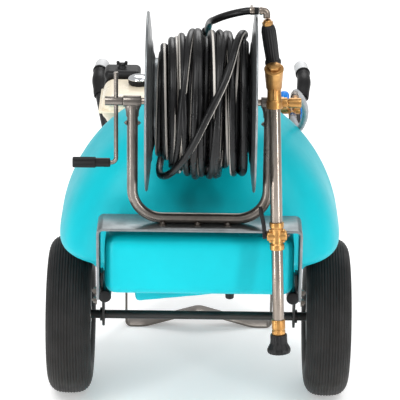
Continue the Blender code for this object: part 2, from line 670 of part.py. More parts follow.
def build_hose_tail():
    """The free end of the hose: off the back of the winding, over it and up to the flange's rim."""
    lift = REEL_SHIFT.z
    over = PACK_R + HOSE_R + 0.0015
    route = []
    for degrees, across in ((45, 0.012), (30, 0.018), (15, 0.028)):
        angle = math.radians(degrees)
        route.append((across, REEL_FRONT - over * math.sin(angle),
                      DRAWN_REEL_Z + over * math.cos(angle)))
    route += [(0.046, 0.350, 1.080), (0.070, 0.366, 1.092), (0.096, 0.376, 1.1005),
              (0.112, 0.379, 1.1028), (LANCE_HOOK.x - GAP, LANCE_HOOK.y, LANCE_HOOK.z)]
    path = smooth_path([place(x, f, z + lift) for x, f, z in route], 0.022)
    curve = bpy.data.curves.new("hose_tail", "CURVE")
    curve.dimensions = "3D"
    spline = curve.splines.new("POLY")
    spline.points.add(len(path) - 1)
    for point, at in zip(spline.points, path):
        point.co = (*at, 1.0)
    curve.bevel_depth = HOSE_R
    curve.bevel_resolution = 3
    curve.use_fill_caps = True
    curve.materials.append(material("hose_rubber"))
    tail = bpy.data.objects.new("hose_tail", curve)
    bpy.context.scene.collection.objects.link(tail)


# ---------------------------------------------------------------- lance
def axis_frame(start, end):
    """A frame at the start whose Z runs to the end, with X kept close to the world's X."""
    up = (end - start).normalized()
    across = (Vector((1, 0, 0)) - up * up.x).normalized()
    back = up.cross(across)
    return Matrix.Translation(start) @ Matrix((across, back, up)).transposed().to_4x4()


def build_lance():
    frame = axis_frame(LANCE_AXIS_TIP, LANCE_AXIS_TOP)
    bore = LANCE_TUBE_R - 0.0025

    def ring(name, profile, finish, steps=24, origin=LANCE_PIVOT):
        return piece(name, turned(profile, (0, 0, 0), "Z", steps, frame), finish, origin)

    level = 0.0
    nozzle = [(0, 0.006), (0, 0.0255), (0.005, 0.0274), (0.012, 0.0265), (0.022, 0.0200),
              (NOZZLE_LENGTH, 0.0195), (NOZZLE_LENGTH, 0.006)]
    ring("nozzle", nozzle, "black_plastic", 20, LANCE_AXIS_TIP)
    level += NOZZLE_LENGTH + GAP
    top = level + COLLAR_LENGTH
    ring("nozzle_collar", [(level, 0.008), (level, 0.0157), (top, 0.0157), (top, 0.008)], "brass")
    level = top + GAP
    top = level + LOWER_TUBE_LENGTH
    ring("lance_tube_lower", [(level, bore), (level, LANCE_TUBE_R - 0.0005),
                              (top, LANCE_TUBE_R - 0.0005), (top, bore)], "polished_steel")
    level = top + GAP
    top = level + VALVE_LENGTH
    middle = (level + top) / 2
    valve = ring("valve_block", [(level, 0), (level, 0.0168), (level + 0.012, 0.0168),
                                 (level + 0.015, 0.0145), (top - 0.015, 0.0145),
                                 (top - 0.012, 0.0168), (top, 0.0168), (top, 0)], "brass", 18)
    half = VALVE_BARREL / 2
    barrel = turned([(-half, 0), (-half, 0.0125), (half, 0.0125), (half, 0)],
                    (0, 0, middle), "X", 16, frame)
    combine(valve, "UNION", "valve_barrel", barrel)
    build_trigger(frame, middle)
    level = top + GAP
    top = level + UPPER_TUBE_LENGTH
    ring("lance_tube_upper", [(level, bore), (level, LANCE_TUBE_R), (top, LANCE_TUBE_R),
                              (top, bore)], "polished_steel")
    level = top + GAP
    head = level + 0.082
    body = ring("gun_body", [(level, 0), (level, 0.0184), (level + 0.018, 0.0184),
                             (level + 0.020, 0.0163), (level + 0.050, 0.0155),
                             (level + 0.066, 0.0190), (head, 0.0190), (head, 0)], "brass", 20)
    tilt = frame @ Matrix.Translation((0, -0.012, head - 0.008)) @ Matrix.Rotation(HEAD_TILT, 4, "X")
    combine(body, "UNION", "gun_head", turned([(-0.030, 0), (-0.030, 0.0180), (0.022, 0.0215),
                                               (0.022, 0)], (0, 0, 0), "Z", 20, tilt))
    neck = frame @ Matrix.Translation((0, 0.021, 0))
    combine(body, "UNION", "gun_neck", turned([(level + 0.050, 0), (level + 0.066, 0.0140),
                                               (head + 0.010, 0.0140), (head + 0.010, 0)],
                                              (0, 0, 0), "Z", 16, neck))
    cap = [(0.022 + GAP, 0), (0.022 + GAP, 0.0223), (0.0255, 0.0223), (0.0255, 0.0150),
           (0.034, 0.0150), (0.034, 0)]
    piece("gun_cap", turned(cap, (0, 0, 0), "Z", 18, tilt), "brass", LANCE_PIVOT)

    grip_start = frame @ Vector((0, 0.021, head + 0.0145))
    grip_end = place(0.1480, 0.3860, 1.0715) + REEL_SHIFT
    grip_frame = axis_frame(grip_start, grip_end)
    length = (grip_end - grip_start).length
    grip = [(0, 0), (0, 0.0160), (0.003, 0.0185), (0.010, 0.0185), (0.013, 0.0155),
            (length - 0.008, 0.0165), (length, 0.0130), (length, 0)]
    piece("lance_grip", turned(grip, (0, 0, 0), "Z", 20, grip_frame), "black_plastic", LANCE_PIVOT)
    nut = [(length + GAP, 0), (length + GAP, 0.0105), (length + 0.009, 0.0105),
           (length + 0.009, 0.0085), (length + 0.013, 0.0085), (length + 0.013, 0)]
    piece("hose_nut", turned(nut, (0, 0, 0), "Z", 12, grip_frame), "brass", LANCE_PIVOT)

    elbow_start = grip_frame @ Vector((0, 0, length + 0.013 + 15 * GAP))
    corner = Vector((elbow_start.x - 0.0005, LANCE_PIVOT.y, LANCE_PIVOT.z))
    elbow = rounded([elbow_start, corner, LANCE_PIVOT + Vector((GAP, 0, 0))], 0.0105, 4)
    piece("hose_elbow", swept(elbow, 0.0080, sides=10), "polished_steel", LANCE_PIVOT)


def build_trigger(frame, middle):
    """The side lever that opens the valve: from the pivot up behind the tube."""
    side = VALVE_BARREL / 2 + GAP + 0.0050
    route = [(-side, 0.000, middle - 0.006), (-side, 0.002, middle + 0.010),
             (-side - 0.002, 0.006, middle + 0.030), (-side - 0.006, 0.012, middle + 0.052),
             (-side - 0.008, 0.016, middle + 0.066)]
    points = [frame @ Vector(p) for p in route]
    pivot = frame @ Vector((-side, 0, middle))
    lever = swept(smooth_path(points, 0.012), 0.0050, sides=8)
    piece("trigger_lever", lever, "black_plastic", pivot)


# ---------------------------------------------------------------- engine and pump
def build_engine():
    base = PLATFORM_TOP + GAP
    side = ENGINE_X - GAP
    piece("engine_crankcase", block((ENGINE_X, ENGINE_Y, base),
                                    (ENGINE_X + 0.145, ENGINE_Y + 0.140, base + 0.150), 0.012),
          "cast_aluminium")
    piece("engine_cylinder", block((ENGINE_X + 0.010, ENGINE_Y + 0.140 + GAP, base + 0.050),
                                   (ENGINE_X + 0.120, ENGINE_Y + 0.215, base + 0.165), 0.010),
          "cast_aluminium")
    centre = Vector((0, SHAFT_Y, SHAFT_Z))
    cover = [(side, 0), (side, 0.067), (side - 0.028, 0.067), (side - 0.038, 0.060),
             (side - 0.042, 0.048), (side - 0.058, 0.042), (side - 0.060, 0)]
    housing = piece("recoil_cover", turned(cover, centre, steps=24), "red_paint")
    cord = centre + Vector((side - 0.060, -0.018, 0.020))
    combine(housing, "DIFFERENCE", "cord_hole",
            turned([(-0.010, 0), (-0.010, 0.0035), (0.056, 0.0035), (0.056, 0)], cord, steps=10))
    handle = [(0.054, 0), (0.054, 0.0022), (-0.002, 0.0022), (-0.002, 0.009), (-0.006, 0.012),
              (-0.014, 0.012), (-0.018, 0.007), (-0.018, 0)]
    piece("recoil_handle", turned(handle, cord, steps=14), "black_plastic", cord)

    left, right = ENGINE_X - 0.067, ENGINE_X + 0.163
    front, back, top = ENGINE_Y - 0.012, ENGINE_Y + 0.180, FUEL_Z + 0.082
    fuel = piece("fuel_tank", block((left, front, FUEL_Z), (right, back, top), 0.024), "cream_paint")
    lip = 0.008
    seam = block((left - lip, front - lip, FUEL_Z + 0.040),
                 (right + lip, back + lip, FUEL_Z + 0.046), 0.0015, 1)
    combine(fuel, "UNION", "fuel_seam", seam)
    cap_at = Vector((ENGINE_X + 0.029, ENGINE_Y + 0.110, top + GAP))
    cap = [(0, 0), (0, 0.026), (0.004, 0.029), (0.016, 0.029), (0.024, 0.020), (0.026, 0)]
    piece("fuel_cap", turned(cap, cap_at, "Z", steps=20), "chrome", cap_at)

    behind = back + lip + 0.001
    piece("air_filter", block((ENGINE_X - 0.067, behind, base + 0.170),
                              (ENGINE_X + 0.031, behind + 0.080, base + 0.268), 0.014), "black_plastic")
    piece("muffler", block((ENGINE_X + 0.057, behind, base + 0.172),
                           (ENGINE_X + 0.165, behind + 0.065, base + 0.250), 0.012), "black_paint")
    coupling = [(ENGINE_X + 0.145 + GAP, 0), (ENGINE_X + 0.145 + GAP, 0.060),
                (ENGINE_X + 0.175, 0.048), (PUMP_X - GAP, 0.048), (PUMP_X - GAP, 0)]
    piece("drive_coupling", turned(coupling, centre, steps=20), "cast_aluminium")


def build_pump():
    base = PLATFORM_TOP + GAP
    body = piece("pump_body", block((PUMP_X, ENGINE_Y + 0.010, base),
                                    (PUMP_X + 0.130, ENGINE_Y + 0.130, base + 0.135), 0.010),
                 "cast_aluminium")
    for label, low, high in (("front", -0.002, 0.020), ("back", 0.120, 0.142)):
        head = turned([(ENGINE_Y + low, 0), (ENGINE_Y + low, 0.052), (ENGINE_Y + high, 0.052),
                       (ENGINE_Y + high, 0)], (PUMP_X + 0.065, 0, SHAFT_Z - 0.025), "Y", steps=18)
        combine(body, "UNION", f"pump_head_{label}", head)
    build_manifold(base + 0.135 + GAP)
    build_suction()


def build_manifold(pump_top):
    """The brass outlet bar above the pump, with two taps on top and a bypass lever at its end."""
    bar_left, bar_right = PUMP_X + 0.110, 0.2625
    bar = [(bar_left, 0), (bar_left, 0.012), (bar_right, 0.012), (bar_right, 0)]
    manifold = piece("manifold", turned(bar, (0, SHAFT_Y, MANIFOLD_Z), steps=14), "brass")
    riser = [(pump_top, 0), (pump_top, 0.010), (MANIFOLD_Z, 0.010), (MANIFOLD_Z, 0)]
    combine(manifold, "UNION", "manifold_riser",
            turned(riser, (bar_left + 0.0105, SHAFT_Y, 0), "Z", steps=12))
    inlet = [(0, 0), (0, 0.010), (0.040, 0.010), (0.040, 0)]
    combine(manifold, "UNION", "feed_inlet", turned(inlet, INLET, "Y", steps=12))
    stem_top = MANIFOLD_Z + 0.022
    for label, across in (("a", 0.2190), ("b", 0.2535)):
        stem = [(MANIFOLD_Z, 0), (MANIFOLD_Z, 0.008), (stem_top, 0.008), (stem_top, 0)]
        combine(manifold, "UNION", f"tap_stem_{label}",
                turned(stem, (across, SHAFT_Y, 0), "Z", steps=12))
        at = Vector((across, SHAFT_Y, stem_top + GAP))
        knob = [(0, 0), (0, 0.012), (0.003, 0.0135), (0.018, 0.0135), (0.026, 0.009), (0.028, 0)]
        piece(f"tap_knob_{label}", turned(knob, at, "Z", steps=14), "blue_plastic", at)
    lever_at = Vector((bar_right + GAP, SHAFT_Y, MANIFOLD_Z))
    lever = block((0, -0.008, -0.052), (0.006, 0.008, 0.012), 0.0025, 1,
                  Matrix.Translation(lever_at))
    piece("bypass_lever", lever, "blue_plastic", lever_at)


def build_suction():
    """The suction hose: out of the sump's back, under the tank and over the cross tube."""
    start = Vector((0, AXLE_Y + GAP, TANK_BOTTOM - 0.046))
    port = Vector((PUMP_X + 0.065, ENGINE_Y - 0.002 - GAP, PLATFORM_TOP + 0.034))
    cross_y = AXLE_Y + CROSS_BACK
    middle = [(0.020, cross_y - 0.112, TANK_BOTTOM - 0.038), (0.050, cross_y - 0.052, RAIL_Z - 0.001),
              (0.072, cross_y, RAIL_Z + 0.0270)]
    points = [start, start + Vector((0, 0.060, 0)), *middle, port + Vector((0, -0.025, 0)), port]
    piece("suction_hose", swept(smooth_path(points, 0.040), SUCTION_HOSE_R, sides=8), "black_plastic")


# ---------------------------------------------------------------- build
def main():
    for old in list(bpy.data.objects):
        bpy.data.objects.remove(old, do_unlink=True)
    build_frame()
    build_wheels()
    build_tank()
    build_bracket()
    build_reel()
    build_feed()
    build_hose_tail()
    build_lance()
    build_engine()
    build_pump()


main()
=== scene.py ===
# %% [markdown]
# # A wheeled trolley sprayer, one piece at a time
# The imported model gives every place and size. This script only adds the looks: each cell
# makes one piece or one finish, and says first how the real thing is made.

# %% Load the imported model
import math

import bmesh
import bpy
import numpy as np
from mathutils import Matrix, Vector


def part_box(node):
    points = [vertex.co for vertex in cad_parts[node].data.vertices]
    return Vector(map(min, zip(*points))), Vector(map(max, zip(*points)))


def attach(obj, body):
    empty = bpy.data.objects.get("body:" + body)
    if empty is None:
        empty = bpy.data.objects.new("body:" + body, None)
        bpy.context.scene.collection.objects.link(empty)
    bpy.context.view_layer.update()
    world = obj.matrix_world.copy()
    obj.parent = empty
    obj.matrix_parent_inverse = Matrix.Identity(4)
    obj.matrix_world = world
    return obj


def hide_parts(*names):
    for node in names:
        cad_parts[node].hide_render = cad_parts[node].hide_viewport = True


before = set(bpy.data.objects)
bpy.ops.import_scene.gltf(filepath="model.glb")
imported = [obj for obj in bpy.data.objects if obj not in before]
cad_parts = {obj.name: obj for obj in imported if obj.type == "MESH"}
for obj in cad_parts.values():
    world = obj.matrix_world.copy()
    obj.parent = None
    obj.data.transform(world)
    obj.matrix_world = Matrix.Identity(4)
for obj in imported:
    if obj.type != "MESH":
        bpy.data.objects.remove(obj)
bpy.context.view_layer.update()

# %% [markdown]
# ## Places
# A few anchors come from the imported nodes. Routes are written as (across, front, up), where
# front is the distance forward of the wheel axle, because that is how the frame was drawn.

# %% Anchors read from the model


def middle(node):
    """Centre of a CAD node's box: (low + high) / 2."""
    low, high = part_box(node)
    return (np.array(low) + np.array(high)) / 2


AXLE = middle("axle")
REEL = middle("reel_drum")
RAIL_Z = middle("cross_tube")[2]
RAIL_X = 0.222
BRACKET_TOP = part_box("bracket")[1].z
PLATFORM_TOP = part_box("engine_platform")[1].z
TANK_BASE = RAIL_Z + 0.0153
TANK_CROWN = TANK_BASE + 0.3565


def place(across, front, up):
    """Row-frame point of (across, front, up): y = axle y - front."""
    return np.array([across, AXLE[1] - front, up])


print("axle", AXLE.round(4), "reel", REEL.round(4))

# %% [markdown]
# ## Shapes as grids
# Nearly everything on this machine is turned, bent from tube or bar, or moulded. So four
# helpers cover it: a profile turned round an axis, a circle carried along a path, a bar
# carried along a path, and a rounded box. A shape is a pair: points and faces.

# %% Grid helpers


def grid_faces(rows, columns, wrap=False):
    """Quads between neighbouring rows of points; columns always close round, rows if wrap."""
    r, c = np.meshgrid(np.arange(rows if wrap else rows - 1), np.arange(columns), indexing="ij")
    r2, c2 = (r + 1) % rows, (c + 1) % columns
    quads = np.stack([r * columns + c, r * columns + c2, r2 * columns + c2, r2 * columns + c], -1)
    return quads.reshape(-1, 4)


def softened(points, reach, closed=False, steps=4):
    """Each corner c becomes an arc from a to b, both a reach away along its two legs.

    p(t) = ((1-t)^2 a + 2 t (1-t) w c + t^2 b) / ((1-t)^2 + 2 t (1-t) w + t^2), with
    w = sin(half the corner's angle), which is a true circle.
    """
    p = np.array(points, float)
    back, ahead = np.roll(p, 1, 0) - p, np.roll(p, -1, 0) - p
    long_back = np.linalg.norm(back, axis=1, keepdims=True)
    long_ahead = np.linalg.norm(ahead, axis=1, keepdims=True)
    back, ahead = back / np.maximum(long_back, 1e-12), ahead / np.maximum(long_ahead, 1e-12)
    size = np.minimum(reach, 0.45 * np.minimum(long_back, long_ahead))
    a, b = (p + back * size)[:, None], (p + ahead * size)[:, None]
    w = np.sqrt(np.clip((1 - (back * ahead).sum(1)) / 2, 0, 1))[:, None, None]
    t = np.linspace(0, 1, steps)[None, :, None]
    top = (1 - t) ** 2 * a + 2 * t * (1 - t) * w * p[:, None] + t**2 * b
    arc = top / ((1 - t) ** 2 + 2 * t * (1 - t) * w + t**2)
    if closed:
        return arc.reshape(-1, p.shape[1])
    return np.concatenate([p[:1], arc[1:-1].reshape(-1, p.shape[1]), p[-1:]])


def moved(shape, matrix):
    """The shape carried by a 4 x 4 matrix: p' = R p + t."""
    points, faces = shape
    return points @ matrix[:3, :3].T + matrix[:3, 3], faces


def joined(*shapes):
    """Several shapes as one, the faces' numbers shifted past the points before them."""
    starts = np.cumsum([0] + [len(points) for points, _ in shapes])
    faces = [quads + start for (_, quads), start in zip(shapes, starts)]
    return np.concatenate([points for points, _ in shapes]), np.concatenate(faces)


def turned(profile, origin=(0, 0, 0), axis="X", steps=64, soft=0.0008, ribs=None, matrix=None):
    """(along, radius) turned round an axis: P = origin + along * axis + radius * (cos, sin).

    Ribs (count, depth, least radius) make radius' = radius - depth * (1 - cos(count angle)) / 2.
    """
    closed = profile[0][1] > 0
    line = softened(profile, soft, closed) if soft else np.array(profile, float)
    angle = 2 * math.pi * np.arange(steps) / steps
    along, radius = line[:, :1] + 0 * angle, line[:, 1:] + 0 * angle
    if ribs:
        count, depth, least = ribs
        radius = radius - np.where(radius > least, depth * (1 - np.cos(count * angle)) / 2, 0)
    a, b = radius * np.cos(angle), radius * np.sin(angle)
    order = {"X": (along, a, b), "Y": (a, along, b), "Z": (a, b, along)}[axis]
    points = np.stack(order, -1).reshape(-1, 3) + np.array(origin)
    shape = points, grid_faces(len(line), steps, closed)
    return shape if matrix is None else moved(shape, matrix)


def curve_through(points, step=0.01):
    """Catmull-Rom curve: 0.5 (2b + (c-a)t + (2a-5b+4c-d)t^2 + (3b-a-3c+d)t^3) for each span."""
    p = np.array(points, float)
    p = np.vstack([2 * p[0] - p[1], p, 2 * p[-1] - p[-2]])
    pieces = []
    for a, b, c, d in zip(p, p[1:], p[2:], p[3:]):
        count = max(1, round(np.linalg.norm(c - b) / step))
        t = (np.arange(count) / count)[:, None]
        pieces.append(0.5 * (2 * b + (c - a) * t + (2 * a - 5 * b + 4 * c - d) * t**2
                             + (3 * b - a - 3 * c + d) * t**3))
    return np.vstack([*pieces, p[-2:-1]])


def frames_along(path):
    """Tangent, side and rise at each point; side is carried on without twisting."""
    tangent = np.gradient(path, axis=0)
    tangent /= np.linalg.norm(tangent, axis=1, keepdims=True)
    side = np.cross(tangent[0], (0, 0, 1) if abs(tangent[0, 2]) < 0.9 else (0, 1, 0))
    sides = []
    for t in tangent:
        side = side - t * (side @ t)
        side = side / np.linalg.norm(side)
        sides.append(side)
    sides = np.array(sides)
    return tangent, sides, np.cross(tangent, sides)


def swept(path, radius, sides=24, bore=0.0):
    """A round tube: P(i, a) = path_i + radius_i (side_i cos a + rise_i sin a), hollow or capped."""
    path = np.array(path, float)
    radius = np.broadcast_to(radius, len(path)).astype(float)
    _, side, rise = frames_along(path)
    angle = 2 * math.pi * np.arange(sides) / sides
    ring = side[:, None] * np.cos(angle)[:, None] + rise[:, None] * np.sin(angle)[:, None]
    outer = path[:, None] + radius[:, None, None] * ring
    if bore:
        inner = (path[:, None] + bore * ring)[::-1]
        rows = np.concatenate([outer, inner])
    else:
        ends = path[[0, -1], None] + 0 * ring[[0, -1]]
        rows = np.concatenate([ends[:1], outer, ends[1:]])
    return rows.reshape(-1, 3), grid_faces(len(rows), sides, bool(bore))


def bar_along(path, thick, wide, across, soft=0.0008):
    """A flat bar: the rectangle thick x wide carried along a path, wide along 'across'."""
    path, across = np.array(path, float), np.array(across, float)
    tangent = np.gradient(path, axis=0)
    tangent /= np.linalg.norm(tangent, axis=1, keepdims=True)
    normal = np.cross(tangent, across)
    t, w = thick / 2, wide / 2
    section = softened([(-t, -w), (t, -w), (t, w), (-t, w)], soft, True)
    rows = (path[:, None] + normal[:, None] * section[:, :1] + across * section[:, 1:])
    rows = np.concatenate([path[:1, None] + 0 * rows[:1], rows, path[-1:, None] + 0 * rows[:1]])
    return rows.reshape(-1, 3), grid_faces(len(rows), len(section))


def rounded_box(low, high, radius=0.004, arc=4):
    """P = centre + sign (half - r) + r direction, over eight octants of directions."""
    low, high = np.array(low, float), np.array(high, float)
    centre, half = (low + high) / 2, (high - low) / 2
    radius = min(radius, 0.98 * half.min())
    quarter = np.linspace(0, math.pi / 2, arc)
    turn = np.concatenate([quarter + i * math.pi / 2 for i in range(4)])
    sign_x, sign_y = np.repeat([1, -1, -1, 1], arc), np.repeat([1, 1, -1, -1], arc)
    tilt = np.concatenate([quarter - math.pi / 2, quarter])[:, None]
    sign_z = np.repeat([-1, 1], arc)[:, None]
    direction = np.stack([np.cos(tilt) * np.cos(turn), np.cos(tilt) * np.sin(turn),
                          np.sin(tilt) + 0 * turn], -1)
    sign = np.stack([sign_x + 0 * tilt, sign_y + 0 * tilt, sign_z + 0 * turn], -1)
    rows = centre + sign * (half - radius) + radius * direction
    ends = centre + np.array([[0, 0, -half[2]], [0, 0, half[2]]])
    rows = np.concatenate([ends[:1, None] + 0 * rows[:1], rows, ends[1:, None] + 0 * rows[:1]])
    return rows.reshape(-1, 3), grid_faces(len(rows), len(turn))


def axis_frame(start, end):
    """A 4 x 4 frame at start, Z towards end, X as near the world's X as it can be."""
    up = (np.array(end) - start) / np.linalg.norm(np.array(end) - start)
    across = np.array([1.0, 0, 0]) - up * up[0]
    if np.linalg.norm(across) < 1e-6:
        across = np.array([0, 1.0, 0])
    across /= np.linalg.norm(across)
    matrix = np.eye(4)
    matrix[:3, :3] = np.stack([across, np.cross(up, across), up], 1)
    matrix[:3, 3] = start
    return matrix


def shifted(matrix, *step):
    """The frame moved along its own axes."""
    made = matrix.copy()
    made[:3, 3] += matrix[:3, :3] @ np.array(step, float)
    return made


def tilted(matrix, degrees):
    """The frame turned about its own X."""
    c, s = math.cos(math.radians(degrees)), math.sin(math.radians(degrees))
    made = matrix.copy()
    made[:3, :3] = matrix[:3, :3] @ np.array([[1, 0, 0], [0, c, -s], [0, s, c]])
    return made


def bolt(at, towards, flats=0.013, head=0.0055, washer=0.011, nut_end=0.003):
    """A washer, a six-sided head with a turned crown, and the thread's end past it."""
    at = np.array(at, float)
    matrix = axis_frame(at, at + np.array(towards, float))
    corner = flats / math.sqrt(3)
    plate = turned([(0, 0), (0, washer), (0.0016, washer), (0.0016, 0)], axis="Z", steps=24,
                   soft=0.0004, matrix=matrix)
    top = 0.0016 + head
    six = turned([(0.0010, 0), (0.0010, corner), (top - 0.001, corner), (top, corner * 0.86),
                  (top, 0)],
                 axis="Z", steps=6, soft=0, matrix=matrix)
    end = turned([(top - 0.001, 0), (top - 0.001, flats * 0.26), (top + nut_end, flats * 0.26),
                  (top + nut_end, 0)], axis="Z", steps=16, soft=0.0005, matrix=matrix)
    return joined(plate, six, end)


# %% [markdown]
# A shape becomes a piece here. Poles and seams are merged, the faces are turned outwards,
# and edges sharper than an angle stay crisp. The piece then rides on its body.

# %% From a shape to a piece
SHARP = math.radians(34)


def mesh_of(name, shape, merge=2e-6):
    """A mesh of a (points, faces) shape, its seams merged and its faces turned outward."""
    points, faces = shape
    mesh = bpy.data.meshes.new(name)
    mesh.from_pydata(points.tolist(), [], faces.tolist())
    work = bmesh.new()
    work.from_mesh(mesh)
    bmesh.ops.remove_doubles(work, verts=work.verts, dist=merge)
    bmesh.ops.dissolve_degenerate(work, edges=work.edges, dist=1e-7)
    bmesh.ops.recalc_face_normals(work, faces=work.faces)
    work.to_mesh(mesh)
    work.free()
    return mesh


def show(name, shape, look, slot, body, *stands_for):
    """Make a mesh object at the origin of a (points, faces) shape, and hang it on its body."""
    return hang(name, mesh_of(name, shape), look, slot, body, *stands_for)


def hang(name, mesh, look, slot, body, *stands_for):
    """Give a mesh its finish and its body, and hide the nodes it stands for. The slot is not used.
    """
    mesh.shade_smooth()
    mesh.set_sharp_from_angle(angle=SHARP)
    mesh.materials.clear()
    mesh.materials.append(look)
    made = bpy.data.objects.new(name, mesh)
    bpy.context.scene.collection.objects.link(made)
    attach(made, body)
    if stands_for:
        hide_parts(*stands_for)
    return made


# %% [markdown]
# ## Camera, floor and light
# The machine is seen from the reel end, twenty degrees from above, with a long lens. Three
# large soft lamps, a narrow strip lamp on each side for the tubes' highlights, and an even
# sky give the flat studio light of a catalogue.

# %% Camera
camera = bpy.data.objects.new("camera", bpy.data.cameras.new("camera"))
camera.data.lens = 213.3
camera.data.sensor_width = 36.0
camera.data.clip_end = 200.0
stand_at = Matrix.Translation((0.0, -5.640, 2.526))
camera.matrix_world = (stand_at @ Matrix.Rotation(math.radians(70.0), 4, "X")
                       @ Matrix.Rotation(math.radians(0.7), 4, "Z"))
bpy.context.scene.collection.objects.link(camera)
bpy.context.scene.camera = camera

# %% Floor, sky and lamps


def srgb(red, green, blue):
    """Linear colour of 0-255 screen numbers: ((c/255 + 0.055) / 1.055) ^ 2.4."""
    c = np.array([red, green, blue]) / 255
    return (*np.where(c < 0.04045, c / 12.92, ((c + 0.055) / 1.055) ** 2.4).tolist(), 1.0)


def lamp(name, at, aim, wide, tall, power):
    """An oblong area lamp at a point, turned to face another."""
    made = bpy.data.objects.new(name, bpy.data.lights.new(name, "AREA"))
    made.data.shape, made.data.energy = "RECTANGLE", power
    made.data.size, made.data.size_y = wide, tall
    made.matrix_world = Matrix(axis_frame(np.array(aim), np.array(at)).tolist())
    made.location = at
    bpy.context.scene.collection.objects.link(made)


turn = 2 * math.pi * np.arange(96) / 96
rings = np.array([0.0, 4.0, 12.0, 30.0])[:, None]
disc = np.stack([rings * np.cos(turn), rings * np.sin(turn), 0 * rings * turn - 0.0005], -1)
floor_mesh = bpy.data.meshes.new("floor")
floor_mesh.from_pydata(disc.reshape(-1, 3).tolist(), [], grid_faces(4, 96).tolist())
floor = bpy.data.objects.new("floor", floor_mesh)
bpy.context.scene.collection.objects.link(floor)
pale = bpy.data.materials.new("pale_floor")
pale.use_nodes = True
pale.node_tree.nodes["Principled BSDF"].inputs["Base Color"].default_value = (0.90, 0.90, 0.90, 1)
pale.node_tree.nodes["Principled BSDF"].inputs["Roughness"].default_value = 0.9
pale.node_tree.nodes["Principled BSDF"].inputs["Emission Color"].default_value = (1, 1, 1, 1)
pale.node_tree.nodes["Principled BSDF"].inputs["Emission Strength"].default_value = 0.30
floor_mesh.materials.append(pale)

sky = bpy.data.worlds.new("studio")
sky.use_nodes = True
sky.node_tree.nodes["Background"].inputs["Color"].default_value = (1.0, 1.0, 1.0, 1.0)
sky.node_tree.nodes["Background"].inputs["Strength"].default_value = 0.62
bpy.context.scene.world = sky
bpy.context.scene.view_settings.view_transform = "Standard"
lamp("key", (-1.7, -2.4, 4.4), (0, -0.2, 0.5), 2.2, 2.2, 105)
lamp("fill", (2.0, -1.8, 3.9), (0, -0.2, 0.5), 2.2, 2.2, 55)
lamp("back", (0.5, 3.4, 3.4), (0, 0, 0.6), 2.4, 2.4, 60)
lamp("strip_left", (-1.5, -1.7, 0.70), (0, -0.5, 0.70), 0.16, 1.6, 16)
lamp("strip_right", (1.5, -1.7, 0.70), (0, -0.5, 0.70), 0.16, 1.6, 16)

# %% [markdown]
# ## Finishes
# Every finish on the machine has three things in common: a tint that is not quite even, a
# gloss that is not quite even, and a fine surface. One node group makes all three from
# noise, and each material places it with its own values.

# %% The shared finish group


def link_all(tree, *pairs):
    """Join output sockets to input sockets, pair by pair."""
    for a, b in pairs:
        tree.links.new(a, b)


def make_detail_group():
    """Color = mix(A, B, noise), Roughness = low..high by the same noise, Height = fine noise."""
    group = bpy.data.node_groups.new("finish_detail", "ShaderNodeTree")
    face = group.interface
    for name, kind, value in (("Tint A", "NodeSocketColor", (1, 1, 1, 1)),
                              ("Tint B", "NodeSocketColor", (1, 1, 1, 1)),
                              ("Blotch scale", "NodeSocketFloat", 8.0),
                              ("Rough low", "NodeSocketFloat", 0.3),
                              ("Rough high", "NodeSocketFloat", 0.5),
                              ("Grain scale", "NodeSocketFloat", 300.0),
                              ("Stretch", "NodeSocketVector", (1, 1, 1))):
        face.new_socket(name, in_out="INPUT", socket_type=kind).default_value = value
    face.new_socket("Color", in_out="OUTPUT", socket_type="NodeSocketColor")
    face.new_socket("Roughness", in_out="OUTPUT", socket_type="NodeSocketFloat")
    face.new_socket("Height", in_out="OUTPUT", socket_type="NodeSocketFloat")
    new = group.nodes.new
    ins, outs = new("NodeGroupInput"), new("NodeGroupOutput")
    where, stretch = new("ShaderNodeTexCoord"), new("ShaderNodeVectorMath")
    stretch.operation = "MULTIPLY"
    blotch, grain = new("ShaderNodeTexNoise"), new("ShaderNodeTexNoise")
    blotch.inputs["Detail"].default_value = 5.0
    blotch.inputs["Roughness"].default_value = 0.62
    grain.inputs["Detail"].default_value = 3.0
    spread, mix, rough = new("ShaderNodeMapRange"), new("ShaderNodeMix"), new("ShaderNodeMapRange")
    spread.inputs["From Min"].default_value = 0.34
    spread.inputs["From Max"].default_value = 0.66
    mix.data_type = "RGBA"
    both = new("ShaderNodeMath")
    both.operation = "MULTIPLY_ADD"
    both.inputs[1].default_value = 0.35
    link_all(group, (where.outputs["Object"], stretch.inputs[0]),
             (ins.outputs["Stretch"], stretch.inputs[1]),
             (stretch.outputs[0], blotch.inputs["Vector"]),
             (stretch.outputs[0], grain.inputs["Vector"]),
             (ins.outputs["Blotch scale"], blotch.inputs["Scale"]),
             (ins.outputs["Grain scale"], grain.inputs["Scale"]),
             (blotch.outputs["Fac"], spread.inputs["Value"]),
             (spread.outputs["Result"], mix.inputs["Factor"]),
             (ins.outputs["Tint A"], mix.inputs[6]), (ins.outputs["Tint B"], mix.inputs[7]),
             (grain.outputs["Fac"], both.inputs[0]), (spread.outputs["Result"], both.inputs[2]),
             (both.outputs[0], rough.inputs["Value"]),
             (ins.outputs["Rough low"], rough.inputs["To Min"]),
             (ins.outputs["Rough high"], rough.inputs["To Max"]),
             (mix.outputs[2], outs.inputs["Color"]),
             (rough.outputs["Result"], outs.inputs["Roughness"]),
             (grain.outputs["Fac"], outs.inputs["Height"]))
    rough.inputs["From Max"].default_value = 1.35
    return group


